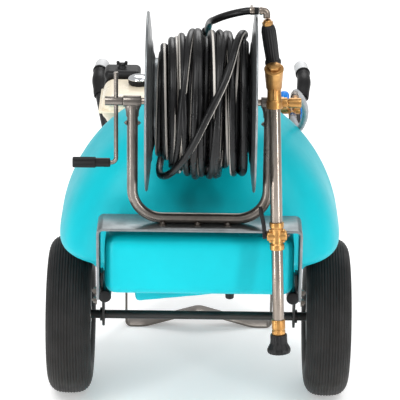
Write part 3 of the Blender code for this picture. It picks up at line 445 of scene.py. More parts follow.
def make_dust_group():
    """Color = mix(Color, Dust, amount * noise * fade); fade falls from 1 at the ground to 0."""
    group = bpy.data.node_groups.new("ground_dust", "ShaderNodeTree")
    face = group.interface
    face.new_socket("Color", in_out="INPUT", socket_type="NodeSocketColor")
    face.new_socket("Dust", in_out="INPUT",
                    socket_type="NodeSocketColor").default_value = srgb(150, 138, 120)
    face.new_socket("Amount", in_out="INPUT", socket_type="NodeSocketFloat").default_value = 0.3
    face.new_socket("Reach", in_out="INPUT", socket_type="NodeSocketFloat").default_value = 0.45
    face.new_socket("Color", in_out="OUTPUT", socket_type="NodeSocketColor")
    new = group.nodes.new
    ins, outs = new("NodeGroupInput"), new("NodeGroupOutput")
    where, apart, fade = (new("ShaderNodeTexCoord"), new("ShaderNodeSeparateXYZ"),
                          new("ShaderNodeMapRange"))
    noise, times, more, mix = (new("ShaderNodeTexNoise"), new("ShaderNodeMath"),
                               new("ShaderNodeMath"), new("ShaderNodeMix"))
    noise.inputs["Scale"].default_value = 22.0
    noise.inputs["Detail"].default_value = 6.0
    fade.inputs["To Min"].default_value, fade.inputs["To Max"].default_value = 1.0, 0.0
    times.operation = more.operation = "MULTIPLY"
    mix.data_type = "RGBA"
    link_all(group, (where.outputs["Object"], apart.inputs[0]),
             (where.outputs["Object"], noise.inputs["Vector"]),
             (apart.outputs["Z"], fade.inputs["Value"]),
             (ins.outputs["Reach"], fade.inputs["From Max"]),
             (fade.outputs["Result"], times.inputs[0]), (noise.outputs["Fac"], times.inputs[1]),
             (times.outputs[0], more.inputs[0]), (ins.outputs["Amount"], more.inputs[1]),
             (more.outputs[0], mix.inputs["Factor"]), (ins.outputs["Color"], mix.inputs[6]),
             (ins.outputs["Dust"], mix.inputs[7]), (mix.outputs[2], outs.inputs["Color"]))
    return group


DETAIL, DUST = make_detail_group(), make_dust_group()


def make_finish(name, tint, other, rough, metal=0.0, blotch=8.0, grain=300.0, depth=0.0001,
                stretch=(1, 1, 1), dust=0.0, coat=0.0, shine=0.5, extra=None):
    """A Principled material fed by the finish group, with a bump of the given depth in metres."""
    made = bpy.data.materials.new(name)
    made.use_nodes = True
    tree = made.node_tree
    shader = tree.nodes["Principled BSDF"]
    shader.inputs["Metallic"].default_value = metal
    shader.inputs["Coat Weight"].default_value = coat
    shader.inputs["Specular IOR Level"].default_value = shine
    detail, bump = tree.nodes.new("ShaderNodeGroup"), tree.nodes.new("ShaderNodeBump")
    detail.node_tree = DETAIL
    for key, value in (("Tint A", srgb(*tint)), ("Tint B", srgb(*other)), ("Blotch scale", blotch),
                       ("Rough low", rough[0]), ("Rough high", rough[1]),
                       ("Grain scale", grain), ("Stretch", stretch)):
        detail.inputs[key].default_value = value
    bump.inputs["Distance"].default_value = depth
    colour = detail.outputs["Color"]
    if extra:
        colour = extra(tree, colour, detail)
    if dust:
        dusty = tree.nodes.new("ShaderNodeGroup")
        dusty.node_tree = DUST
        dusty.inputs["Amount"].default_value = dust
        link_all(tree, (colour, dusty.inputs["Color"]))
        colour = dusty.outputs["Color"]
    link_all(tree, (colour, shader.inputs["Base Color"]),
             (detail.outputs["Roughness"], shader.inputs["Roughness"]),
             (detail.outputs["Height"], bump.inputs["Height"]),
             (bump.outputs["Normal"], shader.inputs["Normal"]))
    return made


# %% [markdown]
# Hot-dip zinc freezes in crystals, so galvanised sheet shows flat patches of slightly
# different grey. Voronoi cells give the patches. The hose carries one pale stripe along its
# length, which its own UV map places: U runs round the hose and V along it.

# %% Spangle, stripe and the palette


def spangle(tree, colour, detail):
    """Colour changed cell by cell: mix(colour, grey, 0.28 * cell's random value)."""
    new = tree.nodes.new
    where, cells, apart, size, mix = (new("ShaderNodeTexCoord"), new("ShaderNodeTexVoronoi"),
                                      new("ShaderNodeSeparateXYZ"), new("ShaderNodeMath"),
                                      new("ShaderNodeMix"))
    cells.inputs["Scale"].default_value = 85.0
    size.operation = "MULTIPLY"
    size.inputs[1].default_value = 0.28
    mix.data_type = "RGBA"
    mix.inputs[7].default_value = srgb(104, 110, 116)
    link_all(tree, (where.outputs["Object"], cells.inputs["Vector"]),
             (cells.outputs["Color"], apart.inputs[0]), (apart.outputs["X"], size.inputs[0]),
             (size.outputs[0], mix.inputs["Factor"]), (colour, mix.inputs[6]))
    return mix.outputs[2]


def stripe(tree, colour, detail):
    """Pale where |pingpong(U, 0.5)| is under half the stripe's width, with a scuffed edge."""
    new = tree.nodes.new
    uv, apart, fold, edge, mix = (new("ShaderNodeUVMap"), new("ShaderNodeSeparateXYZ"),
                                  new("ShaderNodeMath"), new("ShaderNodeMapRange"),
                                  new("ShaderNodeMix"))
    uv.uv_map = "along_hose"
    fold.operation = "PINGPONG"
    fold.inputs[1].default_value = 0.5
    edge.inputs["From Min"].default_value, edge.inputs["From Max"].default_value = 0.042, 0.050
    edge.inputs["To Min"].default_value, edge.inputs["To Max"].default_value = 0.92, 0.0
    mix.data_type = "RGBA"
    mix.inputs[7].default_value = srgb(198, 193, 186)
    link_all(tree, (uv.outputs["UV"], apart.inputs[0]), (apart.outputs["X"], fold.inputs[0]),
             (fold.outputs[0], edge.inputs["Value"]),
             (edge.outputs["Result"], mix.inputs["Factor"]), (colour, mix.inputs[6]))
    return mix.outputs[2]


TEAL = make_finish("rotomoulded_tank", (0, 178, 190), (0, 168, 181), (0.34, 0.48), blotch=5,
                   grain=620, depth=0.00012, shine=0.18)
BLACK_PAINT = make_finish("black_powder_coat", (15, 15, 16), (22, 22, 24), (0.28, 0.46), grain=900,
                          depth=0.00008, dust=0.12)
GALVANISED = make_finish("galvanised_sheet", (140, 144, 145), (116, 120, 121), (0.26, 0.44), 0.92,
                         blotch=26, grain=180, depth=0.00006, extra=spangle)
BARE_TUBE = make_finish("zinc_plated_tube", (134, 128, 122), (92, 86, 80), (0.22, 0.40), 0.95,
                        blotch=9, grain=240, depth=0.00005)
STAINLESS = make_finish("brushed_stainless", (158, 148, 139), (126, 116, 107), (0.16, 0.32), 1.0,
                        blotch=16, grain=420, depth=0.00003, stretch=(6, 6, 0.6))
BRASS = make_finish("brass", (196, 152, 94), (158, 114, 64), (0.24, 0.46), 0.95, blotch=34,
                    grain=520, depth=0.00010)
TYRE = make_finish("tyre_rubber", (26, 26, 27), (17, 17, 18), (0.46, 0.66), blotch=18, grain=900,
                   depth=0.00012, dust=0.06, shine=0.25)
WHEEL_PAINT = make_finish("wheel_enamel", (168, 170, 172), (148, 150, 153), (0.30, 0.45),
                          blotch=14, grain=500, depth=0.00006, dust=0.5)
HOSE = make_finish("striped_hose", (12, 12, 13), (20, 20, 21), (0.22, 0.38), shine=0.25, blotch=30,
                   grain=1100, depth=0.00010, extra=stripe)
GREY_HOSE = make_finish("grey_hose", (150, 152, 154), (128, 130, 133), (0.40, 0.56), blotch=40,
                        grain=700, depth=0.00016)
BLACK_PLASTIC = make_finish("black_plastic", (14, 14, 15), (22, 22, 23), (0.34, 0.52), blotch=20,
                            grain=1300, depth=0.00014, shine=0.25)
CREAM = make_finish("cream_plastic", (232, 221, 198), (224, 211, 186), (0.24, 0.36), blotch=6,
                    grain=500, depth=0.00004, coat=0.2)
CASTING = make_finish("cast_aluminium", (172, 172, 170), (140, 140, 139), (0.42, 0.62), 0.85,
                      blotch=30, grain=900, depth=0.00030)
RED = make_finish("red_plastic", (176, 22, 18), (160, 16, 14), (0.26, 0.38), blotch=9, grain=420,
                  depth=0.00004, coat=0.2)
CHROME = make_finish("chrome", (226, 228, 230), (210, 212, 216), (0.05, 0.12), 1.0, blotch=12,
                     grain=600, depth=0.00001)
BLUE = make_finish("blue_plastic", (4, 124, 214), (3, 112, 198), (0.30, 0.42), blotch=16,
                   grain=800, depth=0.00006)
PALE_PLASTIC = make_finish("pale_grey_plastic", (206, 207, 208), (190, 191, 193), (0.34, 0.48),
                           blotch=16, grain=900, depth=0.00008)

# %% [markdown]
# ## The hose on the reel
# The 17 mm hose goes to and fro across the drum, wound by hand: three full layers, then
# looser part layers, then one slack turn that crosses the front. Each turn lies on those
# under it, so at every angle r = max(r_j + sqrt(d^2 - (x - x_j)^2)) over the older turns.

# %% Where each turn lies
HOSE_R = 0.0085
TURN_STEPS = 64
DRUM_R = 0.100
rng = np.random.default_rng(7)

# turns counted from the top of the reel, and how far across the hose is there
LAST = 43
lay = [(0.0, 0.0955), (11.4, -0.0960), (22.9, 0.1000), (32.9, -0.0720), (33.5, -0.0600),
       (37.9, 0.0900), (38.4, 0.1000), (40.4, -0.0560), (40.9, -0.0100), (41.4, -0.0160),
       (41.95, 0.0420), (42.45, 0.0360), (42.93, 0.0980)]
# the last turn crosses the front from the top right to the bottom left
last = [(0, 0.0985), (22, 0.0775), (45, 0.0680), (62, 0.0486), (76, 0.0260), (90, 0.0007),
        (105, -0.0130), (122, -0.0397), (148, -0.0735), (172, -0.0960), (205, -0.0960),
        (260, -0.0350), (315, 0.0120)]
lay += [(LAST + degrees / 360, x) for degrees, x in last]
turns = np.arange(0, round(lay[-1][0] * TURN_STEPS) + 1) / TURN_STEPS
across = np.interp(turns, *np.array(lay).T)
wander = np.interp(turns, np.arange(0, LAST + 2, 0.5), rng.normal(0, 0.0022, 2 * LAST + 4))
across = across + wander * np.interp(turns, [0, 25, 32, LAST - 0.5, LAST], [0.1, 0.3, 1, 1, 0])
smooth = np.hanning(13) / np.hanning(13).sum()
across = np.convolve(np.pad(across, 6, "edge"), smooth, "valid")
limit = np.interp(turns, [11.4, 24, 30], [0.0962, 0.0985, 0.1035])
across = np.clip(across, -limit, limit)

radius = np.full(len(turns), DRUM_R + HOSE_R + 0.0012)
thick = 2 * HOSE_R - 0.0009
for k in range(TURN_STEPS, len(turns)):
    older = np.arange(k % TURN_STEPS, k - TURN_STEPS // 2, TURN_STEPS)
    reach = np.clip(1 - ((across[k] - across[older]) / thick) ** 2, 0, None)
    rest = np.where(reach > 0, radius[older] + thick * np.sqrt(reach), 0)
    radius[k] = max(radius[k], rest.max(initial=0))
upper = np.array([radius[max(0, i - 3):i + 4].max() for i in range(len(radius))])
radius = np.convolve(np.pad(upper, 8, "edge"), np.hanning(17) / np.hanning(17).sum(), "valid")
angle = 2 * math.pi * turns
pressed = np.interp(across, [-0.104, -0.075, -0.05, -0.02, 0.02, 0.06, 0.104],
                    [0.128, 0.137, 0.148, 0.160, 0.160, 0.155, 0.152])
radius = np.minimum(radius, pressed)
slack = np.interp(turns, [20, 30, 36, 42, LAST, LAST + 1], [0, 0.003, 0.007, 0.010, 0.008, 0.004])
radius = radius + slack * (1 - np.cos(angle)) / 2
over = np.interp(turns - LAST, [0, 0.06, 0.3, 0.41, 0.6, 0.875],
                 [0.183, 0.178, 0.174, 0.170, 0.172, 0.187])
radius = np.where(turns > LAST, np.maximum(radius, over), radius)
radius = np.convolve(np.pad(radius, 5, "edge"), np.hanning(11) / np.hanning(11).sum(), "valid")
radius[-1] = 0.187
winding = np.stack([across, REEL[1] - radius * np.sin(angle), REEL[2] + radius * np.cos(angle)],
                   -1)
print("winding", round(float(np.linalg.norm(np.diff(winding, axis=0), axis=1).sum()), 2),
      "m, highest", round(float(radius.max() + HOSE_R), 4))

# %% [markdown]
# A hose is a circle carried along its path. Its stripe wanders round it, because rubber hose
# is never laid without a little twist, so U = angle / 360 - twist(length).

# %% Hose along a path


def hose(name, path, outward, twist, sides, body, *stands_for):
    """Rings P = path + r (outward cos a + side sin a), with U = a / 2 pi - twist and V = length."""
    tangent = np.gradient(path, axis=0)
    tangent /= np.linalg.norm(tangent, axis=1, keepdims=True)
    outward = outward - tangent * (outward * tangent).sum(1, keepdims=True)
    outward /= np.linalg.norm(outward, axis=1, keepdims=True)
    side = np.cross(tangent, outward)
    a = 2 * math.pi * np.arange(sides) / sides
    ring = outward[:, None] * np.cos(a)[:, None] + side[:, None] * np.sin(a)[:, None]
    points = (path[:, None] + HOSE_R * ring).reshape(-1, 3)
    quads = grid_faces(len(path), sides)
    caps = [list(range(sides))[::-1], list(range(len(points) - sides, len(points)))]
    mesh = bpy.data.meshes.new(name)
    mesh.from_pydata(points.tolist(), [], quads.tolist() + caps)
    length = np.concatenate([[0], np.cumsum(np.linalg.norm(np.diff(path, axis=0), axis=1))])
    row, column = quads // sides, quads % sides
    column = np.where((column == 0) & (quads[:, [0]] % sides == sides - 1), sides, column)
    uv = np.stack([column / sides - twist[row], length[row]], -1).reshape(-1, 2)
    uv = np.concatenate([uv, np.full((2 * sides, 2), 0.5)]).astype(np.float32)
    mesh.uv_layers.new(name="along_hose").data.foreach_set("uv", uv.ravel())
    volume = points[quads]
    inward = np.einsum("ij,ij->i", np.cross(volume[:, 1] - volume[:, 0],
                                            volume[:, 3] - volume[:, 0]),
                       volume[:, 0] - path[row[:, 0]]).sum() < 0
    if inward:
        mesh.flip_normals()
    return hang(name, mesh, HOSE, "hose_rubber", body, *stands_for)


def through(values, length):
    """Values spread evenly over a length, joined by half cosines: a + (b - a)(1 - cos pi t) / 2."""
    at = np.linspace(0, len(values) - 1, length)
    low = np.minimum(at.astype(int), len(values) - 2)
    t = (1 - np.cos(math.pi * (at - low))) / 2
    return values[low] + (values[low + 1] - values[low]) * t


facing = rng.uniform(-0.5, 0.5, 40)
facing[-2:] = -0.20     # the last turn shows its stripe along its lower edge
radial = np.stack([0 * angle, -np.sin(angle), np.cos(angle)], -1)
wound = hose("wound_hose", winding, radial, through(facing, len(winding)), 14, "reel", "hose_pack")

OVER = 0.177 + HOSE_R + 0.0015
route = [(x, 0.375 - OVER * math.sin(math.radians(d)), 0.885 + OVER * math.cos(math.radians(d)))
         for d, x in ((45, 0.012), (30, 0.018), (15, 0.028))]
route += [(0.046, 0.350, 1.080), (0.070, 0.366, 1.092), (0.096, 0.376, 1.1005),
          (0.112, 0.379, 1.1028), (0.1275, 0.380, 1.103)]
tail = curve_through([place(*p) for p in route], 0.006)
up = np.tile([0.0, -0.2, 1.0], (len(tail), 1))
loose = hose("hose_end", tail, up, 0.62 + 0 * tail[:, 0], 20, "chassis", "hose_tail")

# %% [markdown]
# ## Wheels
# A barrow tyre is moulded with fine ribs round the tread. The carcass is one closed profile
# turned round the axle, and the ribs are cut into it by moving each outer point inwards:
# depth * (0.5 - 0.5 cos(2 pi s / pitch))^3, with s the distance along the tread.

# %% Ribbed tyres
HALF_RIM, BEAD, TREAD = 0.041, 0.1008, 0.200


def ribbed_tyre():
    """The carcass profile, with fine grooves where the outer surface is beyond the sidewall."""
    outer = curve_through([(-HALF_RIM, BEAD + 0.014), (-0.0525, BEAD + 0.028),
                           (-0.0558, BEAD + 0.048),
                           (-0.0532, TREAD - 0.029), (-0.0440, TREAD - 0.0125),
                           (-0.0280, TREAD - 0.0030),
                           (0, TREAD - 0.0002), (0.0280, TREAD - 0.0030), (0.0440, TREAD - 0.0125),
                           (0.0532, TREAD - 0.029), (0.0558, BEAD + 0.048), (0.0525, BEAD + 0.028),
                           (HALF_RIM, BEAD + 0.014)], 0.0011)
    tangent = np.gradient(outer, axis=0)
    tangent /= np.linalg.norm(tangent, axis=1, keepdims=True)
    along = np.concatenate([[0], np.cumsum(np.linalg.norm(np.diff(outer, axis=0), axis=1))])
    along -= along[-1] / 2
    wave = (0.5 - 0.5 * np.cos(2 * math.pi * along / 0.0072 + math.pi)) ** 3
    tread = np.clip((outer[:, 1] - (TREAD - 0.052)) / 0.012, 0, 1)
    grooved = outer + np.stack([tangent[:, 1], -tangent[:, 0]], 1) * (0.0019 * wave * tread)[:,
                                                                                             None]
    inner = [(0.0405, BEAD), (0.031, BEAD), (0.036, BEAD + 0.035), (0.025, TREAD - 0.018),
             (-0.025, TREAD - 0.018), (-0.036, BEAD + 0.035), (-0.031, BEAD), (-0.0405, BEAD)]
    return np.vstack([grooved, inner])


tread_profile = ribbed_tyre()
for sign, side in ((-1, "left"), (1, "right")):
    centre = middle(f"tyre_{side}")
    body = f"wheel_{side}"
    show(f"ribbed_tyre_{side}", turned(tread_profile, centre, steps=96, soft=0), TYRE, "tyre",
         body, f"tyre_{side}")
    lip, well, r = 0.046, 0.088, 0.1005
    rim = [(-lip, r + 0.0125), (-0.043, r + 0.0125), (-0.041, r), (-0.020, r), (-0.014, well),
           (0.014, well), (0.020, r), (0.041, r), (0.043, r + 0.0125), (lip, r + 0.0125),
           (lip - 0.002, r - 0.003), (0.022, r - 0.003), (0.016, well - 0.003),
           (0.0015, well - 0.012),
           (0.0015, 0.052), (0.0015 + 0.006 * sign, 0.046), (0.0015, 0.0243), (-0.0015, 0.0243),
           (-0.0015 + 0.006 * sign, 0.046), (-0.0015, 0.052), (-0.0015, well - 0.012),
           (-0.016, well - 0.003), (-0.022, r - 0.003), (-lip + 0.002, r - 0.003)]
    show(f"pressed_rim_{side}", turned(rim, centre, steps=96, soft=0.003), WHEEL_PAINT,
         "wheel_paint", body, f"rim_{side}")
    hub = [(-0.045, 0.0114), (-0.045, 0.0175), (-0.041, 0.0225), (-0.034, 0.024), (0.034, 0.024),
           (0.041, 0.0225), (0.045, 0.0175), (0.045, 0.0114)]
    disc = [(0.0018, 0.0243), (0.0018, 0.044), (0.0058, 0.044), (0.0058, 0.0243)]
    show(f"wheel_hub_{side}", joined(turned(hub, centre, soft=0.002),
                                     turned(disc, centre, soft=0.001)),
         WHEEL_PAINT, "wheel_paint", body, f"hub_{side}")
    spots = [centre + np.array([sign * 0.0060 if sign > 0 else -0.0018, 0.034 * math.cos(a),
                                0.034 * math.sin(a)])
             for a in np.arange(4) * math.pi / 2 + 0.4]
    show(f"wheel_bolts_{side}", joined(*[bolt(at, (sign, 0, 0), 0.010, 0.004,
                                              0.0075) for at in spots]),
         BARE_TUBE, "zinc_steel", body)
    at = centre + np.array([sign * 0.020, 0, r - 0.020])
    valve = swept(curve_through([at + np.array([-sign * 0.004, 0, 0.016]), at,
                                 at + np.array([sign * 0.016, 0, -0.010])], 0.003),
                  0.0042, 16)
    show(f"tyre_valve_{side}", valve, BLACK_PLASTIC, "black_plastic", body)
    collar = turned([(-0.0015, 0.0112), (-0.0015, 0.020), (0.0005, 0.021), (0.0020, 0.020),
                     (0.0020, 0.0112)],
                    centre + np.array([-sign * 0.0490, 0, 0]), soft=0.0006)
    show(f"axle_washer_{side}", collar, BARE_TUBE, "zinc_steel", "chassis")
print("tyre profile points", len(tread_profile))

# %% [markdown]
# ## Axle, hangers, rails and grips
# The frame is steel tube under black powder coat. Tubes are bent cold, so a rail is one
# circle carried along a smooth line. The hangers are flat plates that carry the axle.

# %% Frame
HANGER_MIDDLE = 0.30     # height of the point that each hanger's faces close on


def rail_route(sign):
    """Level under the tank, then up and outward to the handle's end."""
    rise, spread = 0.228, 0.055
    bend = [(0, -0.440, 0), (0.12 * spread, -0.500, 0.10 * rise),
            (0.68 * spread, -0.605, 0.53 * rise),
            (1.05 * spread, -0.685, 0.83 * rise), (1.08 * spread, -0.730, 0.93 * rise),
            (0.95 * spread, -0.778, rise)]
    points = [place(sign * (RAIL_X + x), front, RAIL_Z + z) for x, front, z in bend]
    return np.vstack([place(sign * RAIL_X, 0.360, RAIL_Z), curve_through(points, 0.008)])


def plate_outline(sign):
    """A hanger: wide at the rail, round below the axle, all in the side view."""
    foot = np.linspace(0.2, math.pi - 0.2, 15)
    y = np.concatenate([[-0.045, -0.026], -0.026 * np.cos(foot), [0.026, 0.045]]) + AXLE[1]
    z = np.concatenate([[RAIL_Z, AXLE[2]], AXLE[2] - 0.030 * np.sin(foot), [AXLE[2], RAIL_Z]])
    return y, z


for sign, side in ((-1, "left"), (1, "right")):
    rail = rail_route(sign)
    show(f"frame_rail_{side}", swept(rail, 0.015, 28, 0.013), BLACK_PAINT, "black_paint",
         "chassis", f"rail_{side}")
    low, high = sorted((sign * (0.2373 - 0.0105), sign * (0.2373 - 0.0045)))
    tab = rounded_box((low, AXLE[1] - 0.352, RAIL_Z + 0.012),
                      (high, AXLE[1] - 0.318, RAIL_Z + 0.055), 0.0012)
    show(f"rail_tab_{side}", tab, BLACK_PAINT, "black_paint", "chassis")
    plug_at = place(sign * RAIL_X, 0.362, RAIL_Z)
    plug = turned([(0.004, 0), (0.004, 0.0126), (-0.0004, 0.0128), (-0.0004, 0.0158),
                   (-0.0050, 0.0148), (-0.0062, 0)], plug_at, "Y", 40, 0.0012)
    show(f"rail_plug_{side}", plug, BLACK_PLASTIC, "black_plastic", "chassis")
    back = np.linalg.norm(rail - rail[-1], axis=1)
    grip_line = rail[back < 0.130]
    reach = back[back < 0.130]
    swell = 0.0185 + 0.0007 * np.cos(2 * math.pi * reach / 0.008) * (reach > 0.045)
    swell = np.where(reach < 0.035, 0.0176, swell)
    show(f"rubber_grip_{side}", swept(grip_line, swell, 32, 0.0165), BLACK_PLASTIC,
         "black_plastic", "chassis", f"handle_grip_{side}")
    matrix = axis_frame(rail[-1], rail[-5])
    cap = turned([(-0.0030, 0), (-0.0030, 0.013), (-0.0010, 0.0180), (0.003, 0.0196),
                  (0.033, 0.0196), (0.034, 0.0182),
                  (0.034, 0.0166), (0.0006, 0.0166), (0.0006, 0.0)], axis="Z", steps=48,
                 soft=0.0012, matrix=matrix)
    show(f"grip_end_{side}", cap, PALE_PLASTIC, "black_plastic", "chassis")
    ring = turned([(0.0345, 0.0167), (0.0345, 0.0205), (0.0395, 0.0205), (0.0395, 0.0167)],
                  axis="Z", steps=48, soft=0.0010, matrix=matrix)
    show(f"grip_ring_{side}", ring, BLACK_PLASTIC, "black_plastic", "chassis")

    y, z = plate_outline(sign)
    near, far = sign * 0.2373, sign * 0.2433
    rows = np.stack([np.stack([np.full(len(y), x), y, z], -1) for x in (near, far)])
    inner = [np.tile([x, AXLE[1], HANGER_MIDDLE], (len(y), 1)) for x in (near, far)]
    shell = np.concatenate([inner[:1], rows, inner[1:]]).reshape(-1, 3)
    hanger = show(f"axle_hanger_{side}", (shell, grid_faces(4, len(y))), BLACK_PAINT,
                  "black_paint", "chassis", f"hanger_{side}")
    edge = hanger.modifiers.new("edge", "BEVEL")
    edge.width, edge.segments, edge.limit_method = 0.0008, 2, "ANGLE"
    boss = turned([(0, 0.0112), (0, 0.0170), (0.006, 0.0170), (0.006, 0.0112)],
                  (sign * 0.2433 if sign > 0 else -0.2493, AXLE[1], AXLE[2]), soft=0.001)
    show(f"axle_boss_{side}", boss, BLACK_PAINT, "black_paint", "chassis")
    spots = [(sign * 0.2433, AXLE[1] + dy, RAIL_Z - 0.022) for dy in (-0.028, 0.028)]
    show(f"hanger_bolts_{side}", joined(*[bolt(at, (sign, 0, 0)) for at in spots]), BARE_TUBE,
         "zinc_steel", "chassis")

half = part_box("axle")[1].x
show("wheel_axle", turned([(-half, 0), (-half, 0.011), (half, 0.011), (half, 0)], AXLE,
                          soft=0.0012),
     BLACK_PAINT, "black_paint", "chassis", "axle")
low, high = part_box("cross_tube")
cross = np.array([[x, middle("cross_tube")[1], RAIL_Z] for x in (low.x, high.x)])
show("frame_cross_tube", swept(cross, 0.0125, 28, 0.0105), BLACK_PAINT, "black_paint", "chassis",
     "cross_tube")
low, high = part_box("engine_platform")
show("engine_plate", rounded_box(low, high, 0.0012), BLACK_PAINT, "black_paint", "chassis",
     "engine_platform")
leg, toe, top = 0.2067 - 0.0105, 0.0025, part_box("stand")[1].z
corners = [(-leg, top), (-leg, toe), (0.050 - leg, toe), (0, 0.042 + toe), (leg - 0.050, toe),
           (leg, toe), (leg, top)]
path = softened([(x, middle("stand")[1], z) for x, z in corners], 0.014, steps=9)
show("bent_stand", bar_along(path, 0.005, 0.050, (0, 1, 0)), BARE_TUBE, "zinc_steel", "chassis",
     "stand")
spots = [(sign * (leg + 0.0025), middle("stand")[1], z) for sign in (-1, 1) for z in (0.372,
                                                                                      0.340)]
show("stand_bolts", joined(*[bolt(at, (math.copysign(1, at[0]), 0, 0)) for at in spots]),
     BARE_TUBE, "zinc_steel", "chassis")

# %% [markdown]
# ## The tank
# The tank is rotomoulded: plastic powder melts inside a turning mould, so every inside and
# outside corner is soft. Its dome is a stack of rounded rectangles |x/a|^n + |y/b|^n = 1.
# The nose, the sump and the neck are separate closed shapes. A voxel remesh melts them into
# one skin, and a smoothing pass gives the soft corners.

# %% Rotomoulded tank
FRONT_CORNER, BACK_CORNER = 4.5, 3.0


def dome_rings(levels, steps=120):
    """Slices of |x/a|^n + |y/b|^n = 1, where a and b shrink as (1 - s^p)^(1/2.2) with height."""
    up = levels[:, None]
    s = np.clip((up - TANK_BASE - 0.0565) / 0.300, 0, 1)
    u = np.clip((up - TANK_BASE) / 0.0565, 0, 1)
    belly = 1 - 0.257 * (1 - u) ** 2
    front, back = (1 - s**1.6) ** (1 / 2.2) * belly, (1 - s**3.0) ** (1 / 2.2) * belly
    angle = 2 * math.pi * np.arange(steps) / steps
    c, d = np.cos(angle), np.sin(angle)
    power = np.where(d > 0, 2 / BACK_CORNER, 2 / FRONT_CORNER)
    x = np.sign(c) * np.abs(c) ** power * front * 0.343
    y = np.sign(d) * np.abs(d) ** power * np.where(d > 0, back, front) * 0.310
    return np.stack([x, AXLE[1] + y, up + 0 * x], -1)


heights = np.concatenate([np.linspace(TANK_BASE, TANK_BASE + 0.056, 14),
                          TANK_BASE + 0.0565 + 0.2995 * np.sin(np.linspace(0, math.pi / 2, 60))])
rows = dome_rings(heights)
ends = np.array([[[0, AXLE[1], heights[0]]], [[0, AXLE[1], heights[-1]]]])
rows = np.concatenate([ends[:1] + 0 * rows[:1], rows, ends[1:] + 0 * rows[:1]])
dome = rows.reshape(-1, 3), grid_faces(len(rows), 120)
nose = rounded_box(place(-0.222, 0.400, TANK_BASE), place(0.222, 0.080, TANK_BASE + 0.146),
                   0.026, 7)
low, high = place(-0.155, 0.250, TANK_BASE - 0.078), place(0.040, 0.0, TANK_BASE + 0.020)
foot = rounded_box(place(-0.253, 0.255, TANK_BASE), place(0.253, -0.215, TANK_BASE + 0.056),
                   0.020, 7)
sump_points, sump_faces = rounded_box(low, high, 0.010, 5)
sump_points[:, 2] += np.where(sump_points[:, 2] < TANK_BASE - 0.03,
                              (sump_points[:, 0] - low[0]) * 0.11, 0)
crown = place(0, -0.090, TANK_CROWN)
neck = turned([(-0.040, 0), (-0.040, 0.060), (0.0165, 0.060), (0.0165, 0)], crown, "Z", 96, 0.002)
lump = joined(dome, nose, foot, (sump_points, sump_faces), neck)
sheet = mesh_of("tank_skin", lump, merge=1e-6)
skin = bpy.data.objects.new("tank_skin", sheet)
bpy.context.scene.collection.objects.link(skin)
melt = skin.modifiers.new("melt", "REMESH")
melt.mode, melt.voxel_size = "VOXEL", 0.0052
soften = skin.modifiers.new("soften", "SMOOTH")
soften.factor, soften.iterations = 0.5, 9
bore = turned([(-0.075, 0), (-0.075, 0.0555), (0.040, 0.0555), (0.040, 0)], crown, "Z", 72, 0)
bore_mesh = mesh_of("neck_bore", bore, merge=1e-6)
bore_cutter = bpy.data.objects.new("neck_bore", bore_mesh)
bpy.context.scene.collection.objects.link(bore_cutter)
cut = skin.modifiers.new("bore", "BOOLEAN")
cut.operation, cut.solver, cut.object = "DIFFERENCE", "EXACT", bore_cutter
bpy.context.view_layer.update()
melted = bpy.data.meshes.new_from_object(skin.evaluated_get(bpy.context.evaluated_depsgraph_get()))
bpy.data.objects.remove(skin)
bpy.data.objects.remove(bore_cutter)
hang("moulded_tank", melted, TEAL, "tank_plastic", "chassis", "tank")
print("tank skin", len(melted.polygons), "faces")

# %% [markdown]
# The neck has a coarse thread, a strainer basket hangs in it, and a ribbed black lid screws
# over both. The drain plug sits under the nose.

# %% Filler neck, strainer, lid and plug
thread = [(z, 0.0600 + (0.0011 if i % 2 else 0)) for i,
          z in enumerate(np.linspace(-0.004, 0.016, 7))]
neck_ring = [(-0.004, 0.0562), *thread, (0.0178, 0.0600), (0.0178, 0.0562)]
show("threaded_neck", turned(neck_ring, crown, "Z", 96, 0.001), TEAL, "tank_plastic", "chassis")
basket = [(-0.068, 0), (-0.068, 0.045), (-0.060, 0.0455), (0.0203, 0.051), (0.0203, 0.059),
          (0.0183, 0.059), (0.0183, 0.053), (-0.058, 0.0475), (-0.070, 0.047), (-0.070, 0)]
show("strainer_basket", turned(basket, crown, "Z", 96, 0.001, ribs=(48, 0.0008, 0.0452)),
     BLACK_PLASTIC, "black_plastic", "chassis", "filler_strainer")
lid = [(0.0206, 0), (0.0206, 0.0615), (0.006, 0.0615), (0.006, 0.0710), (0.008, 0.0720),
       (0.0245, 0.0720),
       (0.0285, 0.0700), (0.0305, 0.0640), (0.0300, 0.030), (0.0280, 0.026), (0.0280, 0)]
show("ribbed_lid", turned(lid, crown, "Z", 192, 0.0012, ribs=(32, 0.0016, 0.0690)), BLACK_PLASTIC,
     "black_plastic", "lid", "tank_lid")
plug_at = place(0.073, 0.330, TANK_BASE - 0.0003)
plug = [(0, 0), (0, 0.018), (-0.010, 0.018), (-0.0125, 0.011), (-0.0280, 0.010), (-0.030, 0.008),
        (-0.030, 0)]
show("drain_cap", turned(plug, plug_at, "Z", 96, 0.0012, ribs=(16, 0.0014, 0.0150)), BLACK_PLASTIC,
     "black_plastic", "chassis", "drain_plug")
fittings = joined(*[turned([(0, 0), (0, r), (-h, r), (-h, 0)], place(x, f, TANK_BASE - 0.0005),
                           "Z", 6, 0)
                    for x, f, r, h in ((-0.105, 0.300, 0.010, 0.009), (0.150, 0.320, 0.012, 0.012),
                                       (0.118, 0.310, 0.008, 0.018))])
show("under_tank_fittings", fittings, BLACK_PLASTIC, "black_plastic", "chassis")

# %% [markdown]
# ## Bracket and reel frame
# A galvanised flat bar is bent over the tank's nose and bolted to the rails. The reel's
# frame is one plated tube bent to a U, bolted down through the bracket, with a bearing
# sleeve welded across each end.

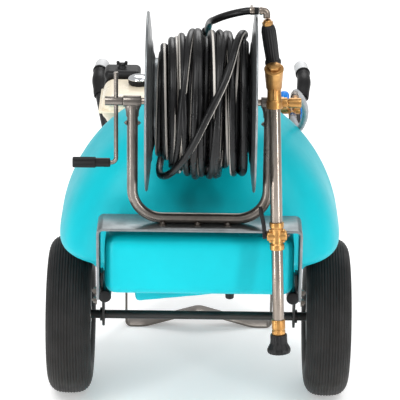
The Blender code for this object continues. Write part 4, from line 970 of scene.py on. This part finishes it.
# %% Bracket and U-shaped reel frame
leg, half = RAIL_X + 0.014, 0.003
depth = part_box("bracket")[1].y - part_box("bracket")[0].y
corners = [(-leg, RAIL_Z + 0.0135), (-leg, BRACKET_TOP - half), (leg, BRACKET_TOP - half),
           (leg, RAIL_Z + 0.0135)]
flat = [(x, middle("bracket")[1], z) for x, z in corners]
show("bent_bracket", bar_along(softened(flat, 0.012, steps=9), 0.006, depth, (0, 1, 0), 0.0012),
     GALVANISED, "zinc_steel", "chassis", "bracket")
spots = [(sign * (leg + half), AXLE[1] - f, z) for sign in (-1, 1) for f,
         z in ((0.392, 0.424), (0.392, 0.400))]
show("bracket_bolts", joined(*[bolt(at, (math.copysign(1, at[0]), 0, 0), 0.013,
                                    0.0065) for at in spots]),
     BARE_TUBE, "zinc_steel", "chassis")

TUBE_X, TUBE_R, SHAFT_R = 0.157, 0.0125, 0.0080
tube_z = BRACKET_TOP + 0.0003 + TUBE_R
top = REEL[2] - 0.010
corners = [(-TUBE_X, REEL[1], top), (-TUBE_X, REEL[1], tube_z), (TUBE_X, REEL[1], tube_z),
           (TUBE_X, REEL[1], top)]
u_tube = swept(softened(corners, 0.070, steps=24), TUBE_R, 40)
show("reel_u_tube", u_tube, BARE_TUBE, "zinc_steel", "chassis", "reel_frame")
under = [bolt((x, REEL[1] - 0.0145, BRACKET_TOP), (0, 0, 1), 0.011, 0.0045, 0.0095,
              0.002) for x in (-0.086, -0.005, 0.065)]
show("reel_frame_bolts", joined(*under), BARE_TUBE, "zinc_steel", "chassis")
for sign, side in ((-1, "left"), (1, "right")):
    start = 0.137
    sleeve = [(sign * x, r) for x, r in ((start, SHAFT_R + 0.0005), (start, 0.0130),
                                         (start + 0.041, 0.0130),
                                         (start + 0.041, SHAFT_R + 0.0005))]
    show(f"bearing_sleeve_{side}", turned(sleeve, REEL, steps=64, soft=0.0012), BARE_TUBE,
         "zinc_steel", "chassis")
    saddle, quads = turned([(-0.034, 0), (-0.034, 0.0128), (-0.020, 0.0134), (-0.008, 0.0165),
                            (-0.002, 0.0170), (-0.002, 0)], (0, 0, 0), "Z", 48, 0.003)
    saddle = saddle * np.array([1.12, 0.72, 1]) + np.array([sign * TUBE_X, REEL[1],
                                                            REEL[2] - 0.004])
    show(f"bearing_saddle_{side}", (saddle, quads), BARE_TUBE, "zinc_steel", "chassis")
    at = REEL + np.array([sign * TUBE_X, 0, -0.052])
    ends = joined(*[bolt(at + np.array([step * 0.0122, 0, 0]), (step, 0, 0), 0.008, 0.0030, 0.0062,
                         0.002)
                    for step in (-1, 1)])
    show(f"cross_bolt_{side}", ends, BARE_TUBE, "zinc_steel", "chassis")

# %% [markdown]
# ## The reel
# Two pressed discs hold the drum between them. Each is dished outwards and its rim is rolled
# over. The shaft runs through both bearing sleeves and ends in the crank.

# %% Drum, flanges and shaft
FLANGE_X, FLANGE_R, SHEET = 0.106, 0.2065, 0.0015
flare = FLANGE_X + 0.016
inner = [(FLANGE_X, SHAFT_R + 0.0003), (FLANGE_X, 0.104), (FLANGE_X + 0.004, 0.118),
         (FLANGE_X + 0.005, 0.136),
         (FLANGE_X + 0.007, 0.139), (FLANGE_X + 0.009, 0.165), (flare - 0.003, FLANGE_R - 0.008),
         (flare - 0.002, FLANGE_R - 0.002), (flare + 0.001, FLANGE_R)]
outer = [(flare + 0.0035, FLANGE_R - 0.002), (flare + 0.0030, FLANGE_R - 0.007),
         (flare - 0.0005, FLANGE_R - 0.007),
         (FLANGE_X + 0.009 + SHEET, 0.1645), (FLANGE_X + 0.007 + SHEET, 0.1385),
         (FLANGE_X + 0.005 + SHEET, 0.1355),
         (FLANGE_X + 0.004 + SHEET, 0.1175), (FLANGE_X + SHEET, 0.1045),
         (FLANGE_X + SHEET, SHAFT_R + 0.0003)]
for sign, side in ((-1, "left"), (1, "right")):
    profile = [(sign * along, r) for along, r in inner + outer]
    show(f"pressed_flange_{side}", turned(profile, REEL, steps=160, soft=0.0025), GALVANISED,
         "zinc_steel", "reel", f"reel_flange_{side}")
    hub = [(sign * x, r) for x, r in ((FLANGE_X + SHEET, 0.0081), (FLANGE_X + SHEET, 0.030),
                                      (FLANGE_X + 0.0045, 0.030),
                                      (FLANGE_X + 0.006, 0.016), (FLANGE_X + 0.024, 0.0145),
                                      (FLANGE_X + 0.024, 0.0081))]
    spots = [REEL + np.array([sign * (FLANGE_X + 0.0044), 0.023 * math.cos(a),
                              0.023 * math.sin(a)])
             for a in np.arange(4) * math.pi / 2]
    bolts = [bolt(at, (sign, 0, 0), 0.008, 0.003, 0.006, 0.001) for at in spots]
    show(f"flange_hub_{side}", joined(turned(hub, REEL, soft=0.0012), *bolts), BARE_TUBE,
         "zinc_steel", "reel")
half = FLANGE_X - 0.0003
drum = [(-half, 0.098), (-half, 0.100), (half, 0.100), (half, 0.098)]
show("rolled_drum", turned(drum, REEL, steps=128, soft=0.0005), GALVANISED, "zinc_steel", "reel",
     "reel_drum")
low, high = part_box("reel_shaft")
ends = [(low.x, 0), (low.x, SHAFT_R), (high.x, SHAFT_R), (high.x, 0)]
show("turned_shaft", turned(ends, (0, REEL[1], REEL[2]), soft=0.001), STAINLESS, "polished_steel",
     "reel", "reel_shaft")

# %% [markdown]
# The crank is a bent rod pushed through a sleeve on the shaft's end. Its handle is a plastic
# sleeve in two diameters that turns on the rod.

# %% Crank
CRANK_X, GRIP_Z = -0.1945, REEL[2] - 0.149
sleeve = [(-0.1786, 0), (-0.1786, 0.0105), (-0.220, 0.0105), (-0.220, 0)]
rod = [(CRANK_X, REEL[1], REEL[2] + 0.067), (CRANK_X, REEL[1], GRIP_Z), (-0.287, REEL[1], GRIP_Z)]
rod = softened(rod, 0.012, steps=12)
rod_end = turned([(0.0655, 0), (0.0655, 0.0056), (0.0690, 0.0056), (0.0690, 0)],
                 (CRANK_X, REEL[1], REEL[2]), "Z", 24, 0.001)
show("crank_rod", joined(turned(sleeve, REEL, soft=0.0012), swept(rod, 0.0050, 24), rod_end),
     BARE_TUBE, "zinc_steel", "reel", "crank_arm")
near, far = -0.208, -0.295
step = near - 0.033
grip = [(-0.289, 0), (-0.289, 0.0054), (near, 0.0054), (near, 0.0095), (near - 0.002, 0.0105),
        (step, 0.0105), (step - 0.0015, 0.0125), (far + 0.0015, 0.0125), (far, 0.0110), (far, 0)]
show("crank_handle", turned(grip, (0, REEL[1], GRIP_Z), steps=96, soft=0.0012,
                            ribs=(24, 0.0007, 0.0118)),
     BLACK_PLASTIC, "black_plastic", "crank_grip", "crank_grip")

# %% [markdown]
# Water comes in through a brass rotary joint on the shaft's right end. A grey hose brings it
# over the tank's shoulder from the pump, held at both ends by a crimped steel sleeve.

# %% Rotary joint, feed hose and suction hose
joint = [(0.198, 0), (0.198, SHAFT_R + 0.0004), (0.1786, SHAFT_R + 0.0004), (0.1786, 0.0125),
         (0.1966, 0.0125),
         (0.1966, 0.0095), (0.1996, 0.0095), (0.1996, 0.0115), (0.2286, 0.0115), (0.2286, 0)]
out_x = 0.1786 + 0.037
out = [(-0.002, 0), (-0.002, 0.009), (0.006, 0.0105), (0.018, 0.0105), (0.019, 0.009),
       (0.034, 0.009), (0.034, 0)]
flats = turned([(0.1790, 0), (0.1790, 0.0142), (0.1880, 0.0142), (0.1880, 0)], REEL, steps=6,
               soft=0)
show("rotary_joint", joined(turned(joint, REEL, soft=0.0008), flats,
                            turned(out, (out_x, REEL[1], REEL[2]), "Y", 48, 0.0008)), BRASS,
     "brass", "chassis", "swivel_joint")
front = 0.375 - 0.0343
inlet_y, inlet_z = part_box("feed_hose")[1].y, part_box("tap_knob_a")[0].z - 0.0223
INLET = np.array([0.240, inlet_y, inlet_z])
run = [(out_x, front, REEL[2]), (out_x, front - 0.020, REEL[2]), (0.222, 0.240, 0.868),
       (0.238, 0.150, 0.826),
       (0.252, 0.050, 0.772), (0.258, -0.050, 0.720), (0.258, -0.150, 0.668),
       (0.252, -0.250, 0.618)]
run = [place(*p) for p in run] + [INLET + [0.003, -0.070, 0.004], INLET + [0, -0.025, 0], INLET]
feed = curve_through(run, 0.006)
show("grey_feed_hose", swept(feed, 0.0080, 24), GREY_HOSE, "feed_hose", "chassis", "feed_hose")
for label, ends in (("front", feed[[1, 4]]), ("back", feed[[-2, -5]])):
    sleeve = turned([(0, 0.0082), (0, 0.0100), (0.004, 0.0104), (0.024, 0.0104), (0.026, 0.0098),
                     (0.026, 0.0082)],
                    axis="Z", steps=48, soft=0.0008, ribs=(8, 0.0005, 0.0102),
                    matrix=axis_frame(*ends))
    show(f"crimped_sleeve_{label}", sleeve, STAINLESS, "polished_steel", "chassis")
start = np.array([0, AXLE[1] + 0.0003, TANK_BASE - 0.046])
port = np.array([middle("pump_body")[0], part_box("suction_hose")[1].y, PLATFORM_TOP + 0.034])
cross_y = middle("cross_tube")[1]
route = [start, start + [0, 0.060, 0], (0.020, cross_y - 0.112, TANK_BASE - 0.038),
         (0.050, cross_y - 0.052, RAIL_Z - 0.001),
         (0.072, cross_y, RAIL_Z + 0.027), port + [0, -0.025, 0], port]
suction = curve_through(route, 0.0016)
along = np.arange(len(suction)) * 0.0016
show("ribbed_suction_hose", swept(suction, 0.0094 + 0.0007 * np.cos(2 * math.pi * along / 0.0072),
                                  28), BLACK_PLASTIC,
     "hose_rubber", "chassis", "suction_hose")

# %% [markdown]
# ## The lance
# The lance hangs by its hose over the right flange. From the bottom up it is a rubber
# nozzle guard, a brass collar, a steel tube, a brass valve with a side lever, a longer
# tube, the brass gun body with a slanted head, and a black grip. All of it is turned on
# one slightly leaning axis, so every part is a profile in that axis's own frame.

# %% Lance, from the nozzle up
TIP, TOP = place(0.1880, 0.481, 0.310), place(0.1635, 0.405, 0.960)
HOOK = place(0.1278, 0.380, 1.103)
LANCE = axis_frame(TIP, TOP)


def lance_part(name, profile, look, slot, body, node, steps=64, soft=0.0010, ribs=None,
               matrix=LANCE):
    """A profile turned on the lance's axis."""
    shape = turned(profile, axis="Z", steps=steps, soft=soft, ribs=ribs, matrix=matrix)
    return show(name, shape, look, slot, body, *([node] if node else []))


guard = [(0, 0.006), (0, 0.0250), (0.002, 0.0268), (0.006, 0.0274), (0.010, 0.0272),
         (0.014, 0.0256), (0.020, 0.0222),
         (0.024, 0.0202), (0.030, 0.0196), (0.045, 0.0196), (0.045, 0.006)]
lance_part("nozzle_guard", guard, BLACK_PLASTIC, "black_plastic", "nozzle", "nozzle", 96, 0.0016,
           (20, 0.0009, 0.0190))
lance_part("spray_tip", [(0.0010, 0), (0.0010, 0.0058), (-0.0006, 0.0052), (-0.0006, 0.0016),
                         (0.0002, 0)][::-1], BRASS,
           "brass", "nozzle", None, 48, 0.0004)
level = 0.0453
lance_part("nozzle_nut", [(level, 0.008), (level, 0.0157), (level + 0.009, 0.0157),
                          (level + 0.010, 0.0144),
                          (level + 0.012, 0.0144), (level + 0.013, 0.0157),
                          (level + 0.035, 0.0157), (level + 0.035, 0.008)],
           BRASS, "brass", "lance", "nozzle_collar", 96, 0.0008, (24, 0.0005, 0.0150))
level += 0.0353
lance_part("lower_tube", [(level, 0.0113), (level, 0.0133), (level + 0.167, 0.0133),
                          (level + 0.167, 0.0113)],
           STAINLESS, "polished_steel", "lance", "lance_tube_lower", 64, 0.0005)
level += 0.1673
top, mid = level + 0.065, level + 0.0325
valve = turned([(level, 0), (level, 0.0168), (level + 0.012, 0.0168), (level + 0.015, 0.0140),
                (level + 0.022, 0.0135),
                (top - 0.022, 0.0135), (top - 0.015, 0.0140), (top - 0.012, 0.0168), (top, 0.0168),
                (top, 0)],
               axis="Z", steps=72, soft=0.0016, matrix=LANCE)
barrel = turned([(-0.023, 0), (-0.023, 0.0112), (-0.019, 0.0125), (0.019, 0.0125), (0.023, 0.0112),
                 (0.023, 0)],
                (0, 0, mid), "X", 64, 0.0014, matrix=LANCE)
lugs = [turned([(-0.016, 0), (-0.016, 0.0052), (0.016, 0.0052), (0.016, 0)], (0.0138 * s, 0, mid),
               "Z", 32, 0.0016, matrix=LANCE) for s in (-1, 1)]
show("valve_body", joined(valve, barrel, *lugs), BRASS, "brass", "lance", "valve_block")
side = LANCE[:3, 0]
centre = (LANCE @ np.array([0, 0, mid, 1]))[:3]
screws = [bolt(centre + side * 0.0232, side, 0.0075, 0.0026, 0.0052, 0.0030)]
show("valve_screw", joined(*screws), BARE_TUBE, "zinc_steel", "lance")
pivot_x = -(0.023 + 0.0053)
lever = [(pivot_x, 0.000, mid - 0.006), (pivot_x, 0.002, mid + 0.010),
         (pivot_x - 0.002, 0.006, mid + 0.030),
         (pivot_x - 0.006, 0.012, mid + 0.052), (pivot_x - 0.008, 0.016, mid + 0.066)]
lever = curve_through([(LANCE @ np.array([*p, 1]))[:3] for p in lever], 0.0025)
thick = np.interp(np.linspace(0, 1, len(lever)), [0, 0.05, 0.3, 0.8, 0.97, 1],
                  [0.0035, 0.0050, 0.0046, 0.0050, 0.0046, 0.003])
hub = turned([(-0.0046, 0), (-0.0046, 0.0068), (0.0046, 0.0068), (0.0046, 0)], (pivot_x, 0, mid),
             "X", 40, 0.0012, matrix=LANCE)
show("valve_lever", joined(swept(lever, thick, 24), hub), BLACK_PLASTIC, "black_plastic",
     "trigger", "trigger_lever")
level = top + 0.0003
lance_part("upper_tube", [(level, 0.0113), (level, 0.0138), (level + 0.265, 0.0138),
                          (level + 0.265, 0.0113)],
           STAINLESS, "polished_steel", "lance", "lance_tube_upper", 64, 0.0005)
level += 0.2653
head = level + 0.082
body = turned([(level, 0), (level, 0.0184), (level + 0.017, 0.0184), (level + 0.0195, 0.0163),
               (level + 0.040, 0.0155),
               (level + 0.052, 0.0160), (level + 0.066, 0.0190), (head, 0.0190), (head, 0)],
              axis="Z", steps=72, soft=0.0018, matrix=LANCE)
slant = tilted(shifted(LANCE, 0, -0.012, head - 0.008), 30)
dome = turned([(-0.030, 0), (-0.030, 0.0180), (0.018, 0.0213), (0.0215, 0.0215), (0.022, 0.0205),
               (0.022, 0)],
              axis="Z", steps=72, soft=0.0014, matrix=slant)
neck = turned([(level + 0.050, 0), (level + 0.066, 0.0140), (head + 0.010, 0.0140),
               (head + 0.010, 0)], axis="Z",
              steps=56, soft=0.002, matrix=shifted(LANCE, 0, 0.021, 0))
rib = rounded_box((-0.0022, -0.0178, level + 0.022), (0.0022, -0.010, level + 0.060), 0.0018)
show("gun_casting", joined(body, dome, neck, moved(rib, LANCE)), BRASS, "brass", "lance",
     "gun_body")
cap = turned([(0.0223, 0), (0.0223, 0.0223), (0.0255, 0.0223), (0.0255, 0.0170), (0.0262, 0.0165),
              (0.0262, 0)],
             axis="Z", steps=72, soft=0.0008, matrix=slant)
six = turned([(0.0260, 0), (0.0260, 0.0150), (0.0330, 0.0150), (0.0340, 0.0132), (0.0340, 0)],
             axis="Z", steps=6, soft=0, matrix=slant)
show("hexagon_plug", joined(cap, six), BRASS, "brass", "lance", "gun_cap")

start = (LANCE @ np.array([0, 0.021, head + 0.0145, 1]))[:3]
end = place(0.1480, 0.3860, 1.0715)
length = float(np.linalg.norm(end - start))
GRIP = axis_frame(start, end)
grip = [(0, 0), (0, 0.0160), (0.002, 0.0183), (0.010, 0.0186), (0.013, 0.0158), (0.030, 0.0160),
        (0.050, 0.0168),
        (length - 0.014, 0.0168), (length - 0.004, 0.0150), (length, 0.0130), (length, 0)]
lance_part("ribbed_grip", grip, BLACK_PLASTIC, "black_plastic", "lance", "lance_grip", 144, 0.0018,
           (18, 0.0008, 0.0150), GRIP)
nut = [(length + 0.0003, 0), (length + 0.0003, 0.0105), (length + 0.009, 0.0105),
       (length + 0.009, 0.0085), (length + 0.013, 0.0085), (length + 0.013, 0)]
six = [(length + 0.001, 0), (length + 0.001, 0.0122), (length + 0.0085, 0.0122),
       (length + 0.0085, 0)]
show("hose_union", joined(turned(nut, axis="Z", steps=56, soft=0.0007, matrix=GRIP),
                          turned(six, axis="Z", steps=6, soft=0, matrix=GRIP)), BRASS, "brass",
     "lance", "hose_nut")
elbow_start = (GRIP @ np.array([0, 0, length + 0.0170, 1]))[:3]
corner = np.array([elbow_start[0] - 0.0005, HOOK[1], HOOK[2]])
elbow = softened([elbow_start, corner, HOOK + [0.0003, 0, 0]], 0.0105, steps=12)
collar = turned([(0, 0.0080), (0, 0.0094), (0.005, 0.0094), (0.005, 0.0080)], axis="Z", steps=48,
                soft=0.0006, matrix=axis_frame(HOOK + [0.0022, 0, 0], HOOK + [0.0122, 0, 0]))
show("steel_elbow", joined(swept(elbow, 0.0080, 40), collar), STAINLESS, "polished_steel", "lance",
     "hose_elbow")

# %% [markdown]
# A worm-drive clamp squeezes the hose on the elbow's barb. It is a thin steel band with a
# small screw across its top, and it stays with the hose's free end on the chassis.

# %% Hose clamp
band_at = tail[-3]
matrix = axis_frame(band_at, tail[-6])
band = turned([(-0.001, HOSE_R + 0.0001), (-0.001, HOSE_R + 0.0009), (0.009, HOSE_R + 0.0009),
               (0.009, HOSE_R + 0.0001)],
              axis="Z", steps=56, soft=0.0003, matrix=matrix)
screw = swept(np.array([band_at + [-0.006, -0.010, 0.0088], band_at + [-0.006, 0.008, 0.0088]]),
              0.0030, 24)
show("hose_clamp", joined(band, screw), STAINLESS, "polished_steel", "chassis")

# %% [markdown]
# ## Engine
# A small four-stroke engine stands on the platform behind the tank: a cast crankcase, a
# finned cylinder behind it, a red recoil starter on its left and a cream fuel tank on top.
# Cooling fins are thin plates, all of one shape, laid out by one loop.

# %% Crankcase, cylinder and recoil starter
ENGINE_X, ENGINE_Y = -0.195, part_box("engine_crankcase")[0].y
SHAFT_Y, SHAFT_Z = ENGINE_Y + 0.070, PLATFORM_TOP + 0.106
base = PLATFORM_TOP + 0.0003
low, high = (np.array(v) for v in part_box("engine_crankcase"))
case = rounded_box(low, high, 0.012, 6)
feet = [rounded_box((low[0] + a, y - 0.012, base), (low[0] + a + 0.030, y + 0.012, base + 0.014),
                    0.004)
        for a in (0.006, 0.109) for y in (low[1] + 0.006, high[1] - 0.006)]
joint = rounded_box((low[0] + 0.112, low[1] - 0.003, low[2] + 0.012),
                    (low[0] + 0.118, high[1] - 0.001, high[2] - 0.004), 0.002)
show("crankcase", joined(case, *feet, joint), CASTING, "cast_aluminium", "chassis",
     "engine_crankcase")
spots = [(low[0] + a, low[1] - 0.001, z) for a in (0.020, 0.060, 0.100) for z in (low[2] + 0.022,
                                                                                  high[2] - 0.020)]
show("crankcase_bolts", joined(*[bolt(at, (0, -1, 0), 0.008, 0.003, 0.006, 0) for at in spots]),
     BARE_TUBE, "zinc_steel", "chassis")
filler = turned([(0, 0), (0, 0.010), (0.014, 0.0115), (0.020, 0.0105), (0.020, 0)],
                (low[0] + 0.100, low[1] + 0.001, low[2] + 0.045),
                "Y", 48, 0.0012, ribs=(10, 0.0012, 0.0098))
filler = filler[0] * [1, -1, 1] + [0, 2 * low[1] + 0.002, 0], filler[1]
show("oil_filler_cap", filler, BLACK_PLASTIC, "black_plastic", "chassis")

low, high = (np.array(v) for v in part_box("engine_cylinder"))
core = rounded_box(low + [0.010, 0, 0.010], high - [0.010, 0.004, 0.010], 0.008, 5)
fins = [rounded_box((low[0], y, low[2]), (high[0], y + 0.0032, high[2]), 0.0014, 3)
        for y in np.linspace(low[1] + 0.002, high[1] - 0.0055, 9)]
head = rounded_box((low[0] + 0.014, high[1] - 0.012, low[2] + 0.014),
                   (high[0] - 0.014, high[1] - 0.0004, high[2] - 0.014), 0.005)
show("finned_cylinder", joined(core, head, *fins), CASTING, "cast_aluminium", "chassis",
     "engine_cylinder")

centre = np.array([0, SHAFT_Y, SHAFT_Z])
side = ENGINE_X - 0.0003
cover = [(side, 0.060), (side, 0.067), (side - 0.028, 0.067), (side - 0.036, 0.061),
         (side - 0.042, 0.049),
         (side - 0.056, 0.044), (side - 0.060, 0.036), (side - 0.060, 0.012),
         (side - 0.058, 0.010), (side - 0.058, 0)]
cover = [(side, 0), *cover]
vents = [moved(rounded_box((side - 0.0525, 0.0475, -0.0045), (side - 0.0435, 0.0490, 0.0045),
                           0.0006, 3),
               np.array([[1, 0, 0, 0], [0, math.cos(a), -math.sin(a), SHAFT_Y],
                         [0, math.sin(a), math.cos(a), SHAFT_Z],
                         [0, 0, 0, 1]])) for a in np.arange(14) * math.pi / 7]
show("recoil_shell", turned(cover, centre, steps=96, soft=0.004), RED, "red_plastic", "chassis",
     "recoil_cover")
show("recoil_vents", joined(*vents), BLACK_PLASTIC, "black_plastic", "chassis")
cord_at = centre + [side - 0.060, -0.018, 0.020]
ring = turned([(-0.0005, 0.0036), (-0.0005, 0.0080), (-0.0022, 0.0070), (-0.0022, 0.0036)],
              cord_at, steps=40, soft=0.0006)
show("cord_eyelet", ring, BLACK_PLASTIC, "black_plastic", "chassis")
handle = turned([(0.054, 0), (0.054, 0.0020), (-0.003, 0.0020), (-0.003, 0.0080), (-0.006, 0.0118),
                 (-0.013, 0.0122), (-0.018, 0.0080), (-0.018, 0)], cord_at, steps=56, soft=0.0022)
show("pull_handle", handle, BLACK_PLASTIC, "black_plastic", "recoil_handle", "recoil_handle")

# %% [markdown]
# The fuel tank is two pressed halves joined at a rolled seam, with a chromed cap whose grip
# is black and ribbed. Behind it sit the air filter, under a lid held by a wing knob, and the
# muffler under its slotted guard.

# %% Fuel tank, cap, air filter and muffler
FUEL_Z = PLATFORM_TOP + 0.176
left, right = ENGINE_X - 0.067, ENGINE_X + 0.163
front, back, top = ENGINE_Y - 0.012, ENGINE_Y + 0.180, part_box("fuel_tank")[1].z
upper = rounded_box((left, front, FUEL_Z + 0.010), (right, back, top), 0.030, 8)
lower = rounded_box((left + 0.010, front + 0.010, FUEL_Z),
                    (right - 0.010, back - 0.010, FUEL_Z + 0.070), 0.022, 6)
seam = rounded_box((left - 0.007, front - 0.007, FUEL_Z + 0.0405),
                   (right + 0.007, back + 0.007, FUEL_Z + 0.0455), 0.0022, 4)
swage = rounded_box((left + 0.020, front - 0.0012, FUEL_Z + 0.058),
                    (right - 0.020, back + 0.0012, FUEL_Z + 0.064), 0.0025, 4)
show("pressed_fuel_tank", joined(upper, lower, seam, swage), CREAM, "cream_plastic", "chassis",
     "fuel_tank")
cap_at = np.array([middle("fuel_cap")[0], middle("fuel_cap")[1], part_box("fuel_cap")[0].z])
crown_cap = turned([(0.0150, 0), (0.0150, 0.0286), (0.0170, 0.0290), (0.0205, 0.0270),
                    (0.0245, 0.0180), (0.0260, 0.0080), (0.0260, 0)],
                   cap_at, "Z", 96, 0.0014)
show("chromed_cap", crown_cap, CHROME, "chrome", "fuel_cap", "fuel_cap")
skirt = turned([(0.0002, 0), (0.0002, 0.0255), (0.003, 0.0280), (0.0150, 0.0286), (0.0150, 0)],
               cap_at, "Z", 180, 0.0012, ribs=(20, 0.0024, 0.0250))
show("ribbed_cap_skirt", skirt, BLACK_PLASTIC, "black_plastic", "fuel_cap")
boss = turned([(-0.004, 0), (-0.004, 0.031), (-0.0006, 0.030), (-0.0006, 0)], cap_at, "Z", 72,
              0.0012)
show("fuel_neck", boss, CREAM, "cream_plastic", "chassis")

low, high = (np.array(v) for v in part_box("air_filter"))
body = rounded_box(low, (high[0], high[1], high[2] - 0.026), 0.014, 6)
lid = rounded_box((low[0], low[1], high[2] - 0.029), high, 0.014, 6)
show("air_filter_box", joined(body, lid), BLACK_PLASTIC, "black_plastic", "chassis", "air_filter")
knob_at = np.array([(low[0] + high[0]) / 2 - 0.002, (low[1] + high[1]) / 2, high[2] - 0.001])
stem = turned([(0, 0), (0, 0.014), (0.004, 0.011), (0.009, 0.009), (0.013, 0.010), (0.013, 0)],
              knob_at, "Z", 56, 0.0016)
wing = rounded_box(knob_at + [-0.015, -0.0045, 0.009], knob_at + [0.015, 0.0045, 0.015], 0.003, 5)
tips = [rounded_box(knob_at + [s * 0.011 - 0.0045, -0.005, 0.011],
                    knob_at + [s * 0.011 + 0.0045, 0.005, 0.0195], 0.004, 5)
        for s in (-1, 1)]
show("wing_knob", joined(stem, wing, *tips), BLACK_PLASTIC, "black_plastic", "chassis")
low, high = (np.array(v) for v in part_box("muffler"))
can = rounded_box(low + [0.004, 0.004, 0.004], high - [0.004, 0.004, 0.004], 0.012, 6)
guard = rounded_box((low[0], high[1] - 0.016, low[2]), high, 0.006, 5)
slats = [rounded_box((x, high[1] - 0.0008, low[2] + 0.012),
                     (x + 0.0045, high[1] + 0.0010, high[2] - 0.012), 0.0006, 3)
         for x in np.linspace(low[0] + 0.010, high[0] - 0.0145, 9)]
pipe = swept(curve_through([(high[0] - 0.020, high[1] - 0.002, low[2] + 0.020),
                            (high[0] - 0.020, high[1] + 0.012, low[2] + 0.020)], 0.003),
             0.0085, 32, 0.0070)
show("muffler_can", joined(can, guard, *slats, pipe), BLACK_PAINT, "black_paint", "chassis",
     "muffler")

# %% [markdown]
# ## Pump
# A diaphragm pump hangs on the engine's right side: a cast body with a round bolted head on
# each face. Above it a brass manifold carries two blue taps and a bypass lever.

# %% Pump, coupling, manifold and taps
PUMP_X = 0.0203
coupling = [(ENGINE_X + 0.1453, 0), (ENGINE_X + 0.1453, 0.060), (ENGINE_X + 0.152, 0.060),
            (ENGINE_X + 0.175, 0.048),
            (PUMP_X - 0.006, 0.048), (PUMP_X - 0.0003, 0.0476), (PUMP_X - 0.0003, 0)]
show("bell_housing", turned(coupling, centre, steps=96, soft=0.002), CASTING, "cast_aluminium",
     "chassis", "drive_coupling")
low, high = np.array([PUMP_X, ENGINE_Y + 0.010, base]), np.array([PUMP_X + 0.130, ENGINE_Y + 0.130,
                                                                  base + 0.135])
parts, heads = [rounded_box(low, high, 0.010, 6)], []
for near, far, way in ((-0.002, 0.020, -1), (0.120, 0.142, 1)):
    hub = np.array([PUMP_X + 0.065, 0, SHAFT_Z - 0.025])
    face = ENGINE_Y + (near if way < 0 else far)
    profile = [(ENGINE_Y + near, 0), (ENGINE_Y + near, 0.052), (ENGINE_Y + far, 0.052),
               (ENGINE_Y + far, 0)]
    parts.append(turned(profile, hub, "Y", 96, 0.004))
    heads += [bolt(hub + [0.043 * math.cos(a), face, 0.043 * math.sin(a)], (0, way, 0), 0.010,
                   0.004, 0.0072, 0)
              for a in np.arange(8) * math.pi / 4 + 0.2]
    if way > 0:
        parts.append(turned([(face - 0.001, 0), (face - 0.001, 0.024), (face + 0.006, 0.020),
                             (face + 0.006, 0)], hub, "Y", 64, 0.002))
show("pump_casting", joined(*parts), CASTING, "cast_aluminium", "chassis", "pump_body")
show("pump_head_bolts", joined(*heads), BARE_TUBE, "zinc_steel", "chassis")

TAP_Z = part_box("tap_knob_a")[0].z
BAR_Z = TAP_Z - 0.0223
bar_left, bar_right = PUMP_X + 0.110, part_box("bypass_lever")[0].x - 0.0003
bar = turned([(bar_left, 0), (bar_left, 0.0120), (bar_left + 0.020, 0.0120),
              (bar_left + 0.022, 0.0102), (0.206, 0.0102),
              (0.208, 0.0120), (0.230, 0.0120), (0.232, 0.0105), (0.240, 0.0105), (0.242, 0.0120),
              (bar_right, 0.0120), (bar_right, 0)], (0, SHAFT_Y, BAR_Z), "X", 64, 0.0010)
riser = turned([(base + 0.1356, 0), (base + 0.1356, 0.0100), (BAR_Z, 0.0100), (BAR_Z, 0)],
               (bar_left + 0.0105, SHAFT_Y, 0), "Z", 56, 0.001)
inlet = turned([(0, 0), (0, 0.0084), (0.004, 0.0100), (0.040, 0.0100), (0.040, 0)], INLET, "Y", 56,
               0.0010)
stems = [turned([(BAR_Z, 0), (BAR_Z, 0.0080), (TAP_Z - 0.0003, 0.0080), (TAP_Z - 0.0003, 0)],
                (middle(f"tap_knob_{k}")[0], SHAFT_Y, 0), "Z", 48, 0.0008)
         for k in "ab"]
nuts = [turned([(TAP_Z - 0.010, 0), (TAP_Z - 0.010, 0.0100), (TAP_Z - 0.003, 0.0100),
                (TAP_Z - 0.003, 0)],
               (middle(f"tap_knob_{k}")[0], SHAFT_Y, 0), "Z", 6, 0) for k in "ab"]
show("brass_manifold", joined(bar, riser, inlet, *stems, *nuts), BRASS, "brass", "chassis",
     "manifold")
union = turned([(0.1850, 0.0122), (0.1850, 0.0142), (0.1990, 0.0142), (0.1990, 0.0122)],
               (0, SHAFT_Y, BAR_Z), "X", 6, 0)
show("manifold_union", union, STAINLESS, "polished_steel", "chassis")
for k in "ab":
    at = np.array([middle(f"tap_knob_{k}")[0], SHAFT_Y, TAP_Z])
    knob = turned([(0, 0), (0, 0.0115), (0.003, 0.0134), (0.018, 0.0135), (0.0225, 0.0120),
                   (0.0265, 0.0080), (0.028, 0.0040), (0.028, 0)],
                  at, "Z", 120, 0.0014, ribs=(10, 0.0016, 0.0110))
    show(f"blue_tap_{k}", knob, BLUE, "blue_plastic", f"tap_{k}", f"tap_knob_{k}")
low, high = (np.array(v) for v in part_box("bypass_lever"))
blade = rounded_box(low + [0.0006, 0.0012, 0], high - [0.0006, 0.0012, 0.010], 0.0022, 5)
hub = turned([(low[0], 0), (low[0], 0.0095), (high[0], 0.0095), (high[0] + 0.0004, 0)],
             (0, SHAFT_Y, BAR_Z), "X", 56, 0.0012)
show("blue_lever", joined(blade, hub), BLUE, "blue_plastic", "bypass", "bypass_lever")
